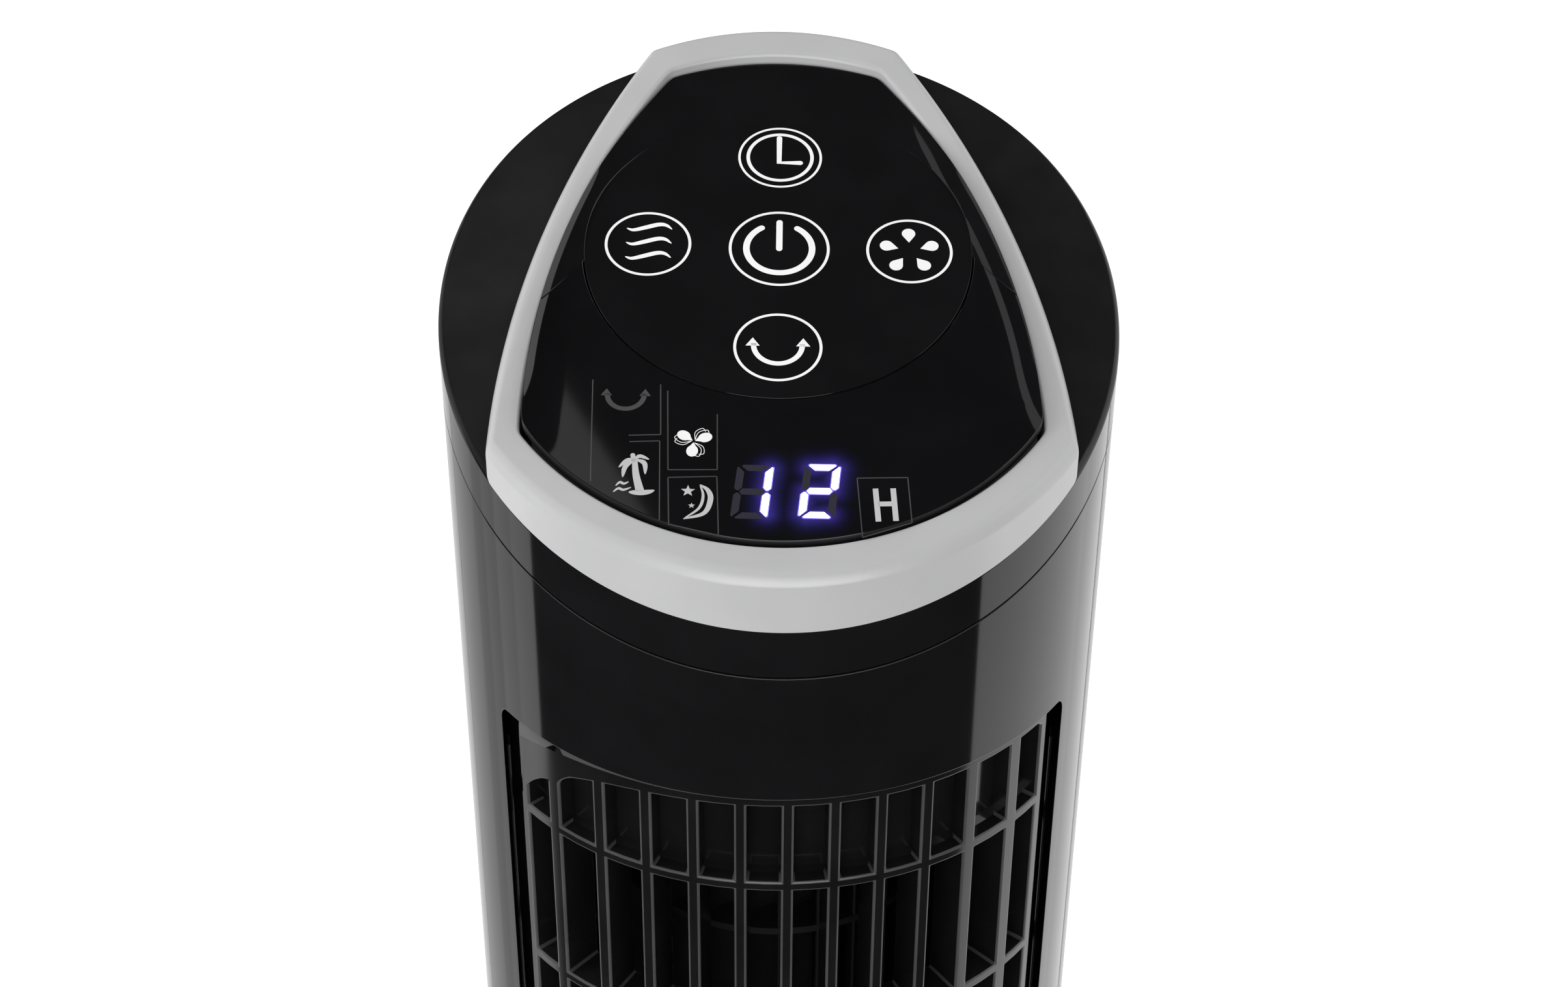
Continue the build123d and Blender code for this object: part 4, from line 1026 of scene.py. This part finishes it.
def breeze_symbol():
    """Palm on an islet with two wavelets, in grey print with a painted glow."""
    ink = Printing(0.1)
    ink.at(0.5, -0.8, 0.0)
    crown = (-31.9, -58.3)
    fronds = (
        ((-33.6, -58.6), (-35.3, -60.4), 0.95),
        ((-33.9, -60.2), (-34.5, -63.0), 1.05),
        ((-30.9, -57.5), (-29.0, -58.4), 0.9),
        ((-30.0, -59.4), (-29.8, -62.3), 1.05),
    )
    for bend, tip, width in fronds:
        ink.swell([crown, bend, tip], width)
    ink.stroke([(-32.2, -58.6), (-32.4, -57.2)], 1.0, cap=True)
    trunk = flowing([(-32.0, -58.6), (-31.7, -62.5), (-30.9, -66.6)])
    ink.stroke(trunk, [1.1 + 0.7 * i / len(trunk) for i in range(len(trunk))])
    ink.swell([(-33.2, -66.9), (-32.2, -67.0), (-30.6, -67.1), (-29.0, -66.9), (-27.9, -66.5)], 1.3)
    ink.swell([(-36.4, -66.8), (-35.3, -65.9), (-34.3, -66.3), (-32.7, -65.7)], 0.6)
    ink.swell([(-35.9, -65.2), (-35.0, -64.3), (-34.2, -64.7), (-33.2, -64.2)], 0.6)
    ink.finish("breeze_symbol", GREY_PRINT_PAINTED_GLOW)


def hour_mark():
    """Printed H for hours, beside the number, with a painted glow."""
    ink = Printing(0.1)
    ink.at(0, 0, 0.0)
    ink.stroke([(18.15, -67.6), (18.35, -76.1)], 1.15)
    ink.stroke([(21.8, -67.6), (21.95, -76.0)], 1.15)
    ink.stroke([(18.5, -71.6), (21.6, -71.6)], 1.2)
    ink.finish("hour_mark", GREY_PRINT_PAINTED_GLOW)


def glow_on_lens(window):
    """Violet light that spreads in the lens round the lit bars, kept as a colour per vertex."""
    reach, bars = 1.9, []
    for centre, names in LIT:
        for name in names:
            outline = [Vector(p) for p in segment(name)]
            middle = sum(outline, Vector((0.0, 0.0))) / len(outline)
            far = max(outline, key=lambda p: (p - middle).length)
            for share in (-0.8, -0.4, 0.0, 0.4, 0.8):
                bars.append(Vector(centre) + middle + (far - middle) * share)
    mesh = window.data
    glow = mesh.color_attributes.new("glow", "FLOAT_COLOR", "POINT")
    spots = np.array([tuple(b) for b in bars])
    points = numbers(mesh.vertices, "co") / MM
    u, v = points[:, 0], (points[:, 1] - DISC_Y) / math.cos(PANEL_TILT)
    gaps = np.hypot(u[:, None] - spots[None, :, 0], v[:, None] - spots[None, :, 1]).min(axis=1)
    strength = np.exp(-((gaps / reach) ** 1.5))
    colors = np.ones((len(points), 4))
    colors[:, :3] = strength[:, None]
    glow.data.foreach_set("color", colors.ravel())


# ---------------------------------------------------------------- body: shells
SEAM_FOOT = 640.0  # above this the wall is stretched to follow the sloping joint
SEAM_HEAD = 700.0  # drafted height of the joint
LINING_DEPTH = 12.7
POCKET_X, POCKET_R, POCKET_FLOOR = 62.0, 3.7, 8.0
POCKET_HEIGHTS = (86.0, 190.0, 400.0, 618.0)
SPLIT = 0.15  # half the gap between the two shells


def joint_height(y):
    """Height of the sloping joint between the walls and the cap."""
    return cap_top(y) - CAP_RIM - 0.1


def wall_bend(facing, flat_half):
    """Bends a flat wall round the tower; facing is -1 for the front half and 1 for the back.

    Up to flat_half from the middle, x stays and holes run straight back. Further round, x
    counts along the wall and the wall's thickness turns towards the axis.
    """
    turn_at = math.asin(flat_half / TOWER_R)

    def bend(points):
        u, depth, z = points[:, 0], points[:, 1], points[:, 2]
        over = np.maximum(np.abs(u) - flat_half, 0.0)
        near = np.clip(np.abs(u), 0.0, flat_half)
        angle = np.where(over > 0, turn_at + over / TOWER_R, np.arcsin(near / TOWER_R))
        ease = np.clip(over / 6.0, 0.0, 1.0)
        lean = angle * ease * ease * (3 - 2 * ease)
        side = -facing * np.sign(u)
        x = side * (TOWER_R * np.sin(angle) - depth * np.sin(lean))
        y = facing * (TOWER_R * np.cos(angle) - depth * np.cos(lean))
        rise = joint_height(facing * TOWER_R * np.cos(angle))
        share = np.maximum(z - SEAM_FOOT, 0.0) / (SEAM_HEAD - SEAM_FOOT)
        height = np.where(share > 0, SEAM_FOOT + share * (rise - SEAM_FOOT), z)
        return np.stack([x, y, height], axis=1)

    return bend


def wall_columns(flat_half, edges):
    """Column places for a half wall: even steps round the wall, and the given edges."""
    turn_at = math.asin(flat_half / TOWER_R)
    near = [TOWER_R * math.sin(a) for a in steps(0.0, turn_at, 0.035)]
    far = steps(flat_half, flat_half + TOWER_R * (math.pi / 2 - turn_at) - SPLIT, 2.6)
    right = merged(near, far)
    clear = [v for v in right if all(abs(v - e) > 0.5 for e in edges)]
    half = merged(clear, edges)
    return merged([-v for v in half], half)


def deepen(bm, inside, depth):
    """Draws the inner rim of the holes back, so that they are lined."""
    for vert in bm.verts:
        if vert.co.y > 0.01 and inside(vert.co.x, vert.co.z):
            vert.co.y = depth


def shell_front():
    """Front wall with its outlet opening, lined straight back, and the blank band above."""
    xs = wall_columns(OPEN_HALF, [OPEN_HALF])
    zs = merged(steps(BODY_BOTTOM, OPEN_BOTTOM, 13), steps(OPEN_BOTTOM, OPEN_TOP, 19),
                steps(OPEN_TOP, SEAM_FOOT, 6), steps(SEAM_FOOT, SEAM_HEAD, 10))
    bm = lattice(xs, zs, lambda x, z: abs(x) > OPEN_HALF or not OPEN_BOTTOM < z < OPEN_TOP, WALL)

    def on_rim(x, z):
        return same(max(abs(x) - OPEN_HALF, OPEN_BOTTOM - z, z - OPEN_TOP), 0.0)

    def corner(x, z):
        return same(abs(x), OPEN_HALF) and (same(z, OPEN_BOTTOM) or same(z, OPEN_TOP))

    deepen(bm, on_rim, LINING_DEPTH)
    round_corners(bm, 3.5, 6, corner)
    # The opening's bevelled rim takes a lighter material: a painted edge highlight.
    settle("front_wall", bm, "tower", BODY_GLOSS, ("front_shell",), bevel=0.45, segments=3,
           warp=wall_bend(-1, OPEN_HALF), edge_highlight=BODY_EDGE_HIGHLIGHT)


SLOT_PITCH, SLOT_WIDTH, SLOT_GAP = 6.9, 3.9, 3.6
SLOT_FIELDS = ((216.0, 43.0, 8, 5), (94.0, 36.0, 2, 4))  # first z, slot height, rows, columns each side
REAR_FLAT_HALF = 67.0  # the rear wall's holes run straight back this far from the middle


def in_slot(x, z):
    """Whether a place on the back wall lies in an inlet slot."""
    column = round(x / SLOT_PITCH)
    off_middle = abs(x - column * SLOT_PITCH)
    for first, tall, rows, each_side in SLOT_FIELDS:
        row, rise = divmod(z - first, tall + SLOT_GAP)
        if 0 <= row < rows and rise < tall and abs(column) <= each_side and off_middle < SLOT_WIDTH / 2:
            return True
    return False


def in_pocket(x, z, reach=POCKET_R):
    """Whether a place on the back wall lies in a screw pocket."""
    return abs(abs(x) - POCKET_X) < reach and any(abs(z - h) < reach for h in POCKET_HEIGHTS)


def shell_rear():
    """Back wall: a tall field of inlet slots, a small one by the motor, and screw pockets."""
    sides = [k * SLOT_PITCH + s * SLOT_WIDTH / 2 for k in range(6) for s in (-1, 1)]
    sides = [x for x in sides if x > 0]
    xs = wall_columns(REAR_FLAT_HALF, sides + [POCKET_X - POCKET_R, POCKET_X + POCKET_R])
    edges = [height + s * POCKET_R for height in POCKET_HEIGHTS for s in (-1, 1)]
    for first, tall, rows, _ in SLOT_FIELDS:
        lows = [first + row * (tall + SLOT_GAP) for row in range(rows)]
        edges += lows + [low + tall for low in lows]
    zs = merged([BODY_BOTTOM, 64.0], edges, [SEAM_FOOT - 4], steps(SEAM_FOOT, SEAM_HEAD, 10), closest=0.3)
    bm = lattice(xs, zs, lambda x, z: not in_slot(x, z) and not in_pocket(x, z), WALL)
    reach = POCKET_R + 0.02

    def pocket_rim(x, z):
        return in_pocket(x, z, reach)

    deepen(bm, pocket_rim, math.sqrt(TOWER_R**2 - POCKET_X**2) - POCKET_FLOOR)
    round_corners(bm, POCKET_R * 0.98, 8, pocket_rim)
    round_corners(bm, 1.2, 3, lambda x, z: abs(x) < POCKET_X - reach)
    settle("rear_wall", bm, "tower", BODY_GLOSS, ("rear_shell",), bevel=0.3,
           warp=wall_bend(1, REAR_FLAT_HALF))


# ---------------------------------------------------------------- body: outlet grille
GRILLE_DEPTH, POCKET_DEPTH, SILL_DEPTH, SILL_TALL = 10.0, 4.7, 3.1, 1.5
END_GAP = 4.9  # width of the narrow windows at both sides
FRAME = 2.4  # height of the grille's rails at top and bottom
SAG, SAG_FROM, SAG_FADE = 7.0, 49.9, 10.0  # dip of the top rail, this far left of the middle
HOOPS = [RING_TOP - i * RING_PITCH for i in range(RING_COUNT)]  # upper edges


def window_spans():
    """Left and right edge of every gap between upright bars, the narrow end gaps included."""
    half = BAR_WIDTH / 2
    places = range(-BARS_EACH_SIDE, BARS_EACH_SIDE)
    spans = [(k * BAR_PITCH + half, (k + 1) * BAR_PITCH - half) for k in places]
    end = BARS_EACH_SIDE * BAR_PITCH + half
    return [(-end - END_GAP, -end), *spans, (end, end + END_GAP)]


WINDOWS = window_spans()


def grille_bend(points):
    """Rolls a flat grille round the tower's axis; on its face x and z stay."""
    x, depth, z = points[:, 0], points[:, 1], points[:, 2]
    across = x / GRILLE_R
    ahead = np.sqrt(1 - across * across)
    top_rail = GRILLE_HIGH.z - FRAME
    share = np.clip((z - RING_TOP) / (top_rail - RING_TOP), 0.0, 1.0)
    share = np.where(z > top_rail + 0.6, np.clip((GRILLE_HIGH.z - z) / (FRAME - 0.6), 0.0, 1.0), share)
    drop = SAG * np.exp(-(x + SAG_FROM) / SAG_FADE)
    out = GRILLE_R - depth
    return np.stack([out * across, -out * ahead, z - drop * share], axis=1)


def flange_bend(points):
    """Pushes the flat side flanges back so that they follow the face of the grille."""
    x, depth, z = points[:, 0], points[:, 1], points[:, 2]
    return np.stack([x, depth - np.sqrt(GRILLE_R**2 - x * x), z], axis=1)


def slab(x_low, x_high, low, high, front, back, columns=6):
    """Upright plate in the draft, cut into columns so that it can be bent."""
    xs = steps(x_low, x_high, (x_high - x_low) / columns)
    return lattice(xs, [low, high], lambda x, z: True, back - front, front)


def ledge(left, right, z, way):
    """Sloped sill at the foot of a blind window."""
    bm = bmesh.new()
    back = POCKET_DEPTH + 0.2
    corners = [(SILL_DEPTH, z), (back, z), (back, z + way * SILL_TALL)]
    sections = [[bm.verts.new((x, *c)) for c in corners] for x in steps(left, right, 2.5)]
    for a, b in zip(sections, sections[1:]):
        bridge(bm, a, b)
    bm.faces.new(sections[0])
    bm.faces.new(sections[-1][::-1])
    return bm


def outlet_grille():
    """Upright bars and hoops in one frame between two rails."""
    low, high, half = GRILLE_LOW.z, GRILLE_HIGH.z, GRILLE_HALF_WIDTH
    xs = merged([-half, half], [x for pair in WINDOWS for x in pair])
    xs = merged(xs, [(a + b) / 2 for a, b in zip(xs, xs[1:]) if b - a > 3.5])
    zs = merged([low, low + FRAME, high - FRAME, high], HOOPS, [h - RING_HEIGHT for h in HOOPS])

    def keep(x, z):
        on_hoop = any(h - RING_HEIGHT < z < h for h in HOOPS)
        on_rail = z < low + FRAME or z > high - FRAME
        return on_hoop or on_rail or not any(a < x < b for a, b in WINDOWS)

    bm = lattice(xs, zs, keep, GRILLE_DEPTH)
    top = high - FRAME
    round_corners(bm, 3.2, 6, lambda x, z: same(z, top) and same(x, WINDOWS[1][0]))
    round_corners(bm, 1.9, 6, lambda x, z: same(z, top) and x < WINDOWS[0][1] + 0.01)
    round_corners(bm, 1.4, 4, lambda x, z: same(z, top) and same(x, WINDOWS[-1][1]))
    # The bevels of the bars, hoops and rails take a lighter material: painted edge highlights.
    settle("outlet_grille", bm, "tower", GRILLE_BLACK, ("front_grille",), bevel=0.5, segments=3,
           warp=grille_bend, edge_highlight=GRILLE_EDGE_HIGHLIGHT, clamp=False)


def grille_pockets():
    """Floors and sloped sills that close the end windows, above the first hoop and below the last."""
    low, high, half = GRILLE_LOW.z, GRILLE_HIGH.z, GRILLE_HALF_WIDTH - 0.4
    first, last = HOOPS[0], HOOPS[-1] - RING_HEIGHT
    drafts = [slab(-half, half, z_low, z_high, POCKET_DEPTH, POCKET_DEPTH + 1.8, 48)
              for z_low, z_high in ((first - 1.0, high - 0.6), (low + 0.6, last + 1.0))]
    for left, right in WINDOWS:
        drafts.append(ledge(left - 0.3, right + 0.3, first - 0.2, 1))
        drafts.append(ledge(left - 0.3, right + 0.3, last + 0.2, -1))
    settle("grille_pockets", join_drafts(*drafts), "tower", GRILLE_BLACK, warp=grille_bend)


def grille_flanges():
    """Flat flanges behind the grille's sides, out to the edge of the opening."""
    flanges = []
    for side in (-1, 1):
        ends = sorted((side * (GRILLE_HALF_WIDTH - 7.0), side * (OPEN_HALF - 0.3)))
        heights = (GRILLE_LOW.z + 0.4, GRILLE_HIGH.z - 0.4)
        flanges.append(slab(*ends, *heights, GRILLE_DEPTH - 0.4, GRILLE_DEPTH + 1.4))
    settle("grille_flanges", join_drafts(*flanges), "tower", GRILLE_BLACK, warp=flange_bend)


def gate_mark():
    """Small round moulding mark in the middle pocket."""
    bm = bmesh.new()
    x, z = 5.1, 618.5
    levels = []
    for r, out in ((1.25, 0.0), (1.15, 0.16), (0.8, 0.16), (0.7, 0.02)):
        ring = [polar(r, a, (x, z)) for a in directions(24)]
        levels.append([bm.verts.new((px, POCKET_DEPTH - out + 0.001, pz)) for px, pz in ring])
    for a, b in zip(levels, levels[1:]):
        bridge(bm, b, a)
    bm.faces.new(levels[-1])
    bm.faces.new(levels[0][::-1])
    settle("gate_mark", bm, "tower", GRILLE_BLACK, warp=grille_bend)


# ---------------------------------------------------------------- base
BASE_R, BASE_TOP, FOOT_HEIGHT, BASE_SKIN = 115.0, 38.0, 3.0, 2.8
ENTRY_HALF, ENTRY_TOP = 8.0, 18.6
ENTRY_R, ENTRY_Z = 4.8, 12.2
POST_R = 14.0


def dome_line(inset):
    """The base's outline from the foot of its rim over the shoulder to the boss, as (r, z)."""
    shoulder = arc_points((BASE_R, 16.0), (106.0, 25.5), (84.0, 31.0), 26)
    points = [(BASE_R, 12.0)] + shoulder + [(79.0, BASE_TOP)]
    return [(BASE_R - inset, FOOT_HEIGHT)] + [(r - inset, z - inset) for r, z in points]


def softened(line, reach):
    """The line with its corners rounded off over a short reach."""
    soft = [line[0]]
    for (ax, az), (bx, bz), (cx, cz) in zip(line, line[1:], line[2:]):
        before, after = math.hypot(bx - ax, bz - az), math.hypot(cx - bx, cz - bz)
        turn = abs((bx - ax) * (cz - bz) - (bz - az) * (cx - bx)) / (before * after)
        if turn < 0.35:
            soft.append((bx, bz))
            continue
        for t in (0.0, 0.25, 0.5, 0.75, 1.0):
            back, ahead = reach * (1 - t) ** 2 / before, reach * t * t / after
            x, z = (cx - bx) * ahead - (bx - ax) * back, (cz - bz) * ahead - (bz - az) * back
            soft.append((bx + x, bz + z))
    return soft + [line[-1]]


def cut_at(line, height):
    """How many points of a line lie below a height, and the line's radius there."""
    low = sum(z < height for _, z in line)
    (ra, za), (rb, zb) = line[low - 1], line[low]
    edge = ra + (rb - ra) * (height - za) / (zb - za)
    return low, edge


def base_section(angle, notched):
    """Closed section of the base cover in one direction, open low down at the lead's entry."""
    bore, hub, hub_foot = POST_R + 0.05, 22.0, 24.0
    bottom, top = (BASE_R - BASE_SKIN / 2, FOOT_HEIGHT), (bore + 3.0, BASE_TOP)
    outer = softened([bottom] + dome_line(0.0) + [top], 0.6)[1:-1]
    inner = dome_line(BASE_SKIN)
    if notched:
        (a, far), (b, near) = cut_at(outer, ENTRY_TOP), cut_at(inner, ENTRY_TOP)
        middle = (far + near) / 2
        outer[:a] = [(middle + (far - middle) * (i + 0.5) / (a - 0.5), ENTRY_TOP) for i in range(a)]
        inner[:b] = [(middle + (near - middle) * (i + 0.5) / (b - 0.5), ENTRY_TOP) for i in range(b)]
    crown = [(bore, BASE_TOP), (bore, hub_foot), (hub, hub_foot), (hub, BASE_TOP - BASE_SKIN)]
    return swept(outer + crown + inner[::-1], angle)


def base_cover():
    """Domed cover of the base in one turned skin, with the notch at the back for the lead."""
    half = math.asin(ENTRY_HALF / BASE_R)
    start, end = math.pi / 2 - half, math.pi / 2 + half
    angles = [math.tau * i / 480 for i in range(480)]
    angles = [t for t in angles if min(abs(t - start), abs(t - end)) > 0.004]
    sections = [base_section(t, False) for t in angles if t < start]
    sections += [base_section(start, False), base_section(start, True)]
    sections += [base_section(t, True) for t in angles if start < t < end]
    sections += [base_section(end, True), base_section(end, False)]
    sections += [base_section(t, False) for t in angles if t > end]
    draft = ring_solid(sections)
    bmesh.ops.remove_doubles(draft, verts=draft.verts, dist=0.0001)
    settle("base_cover", draft, "base", BODY_GLOSS, ("base_shell",))


def entry_wall():
    """Wall across the notch at the back of the base, bored for the lead's bush."""
    half_width, low, high, front, back = 11.0, 6.3, 19.4, 104.0, 112.6
    corners = [math.atan2(z - ENTRY_Z, x) for x in (-half_width, half_width) for z in (low, high)]
    sections = []
    for angle in sorted(directions(64) + corners):
        c, s = math.cos(angle), math.sin(angle)
        upright = high - ENTRY_Z if s > 0 else ENTRY_Z - low
        reach = min(half_width / max(abs(c), 1e-9), upright / max(abs(s), 1e-9))
        ends = ((ENTRY_R, front), (reach, front), (reach, back), (ENTRY_R, back))
        sections.append([(r * c, y, ENTRY_Z + r * s) for r, y in ends])
    settle("entry_wall", ring_solid(sections), "base", BODY_GLOSS, bevel=0.3)


# ---------------------------------------------------------------- assembly
bpy.context.scene.view_settings.view_transform = "Standard"
dress_cad_nodes()
head_cap()
silver_trim()
key_plate()
glow_on_lens(display_window())
key_icons()
display_digits()
display_frames()
fan_symbol()
night_symbol()
breeze_symbol()
hour_mark()
shell_front()
shell_rear()
outlet_grille()
grille_pockets()
grille_flanges()
gate_mark()
base_cover()
entry_wall()
studio()
camera()
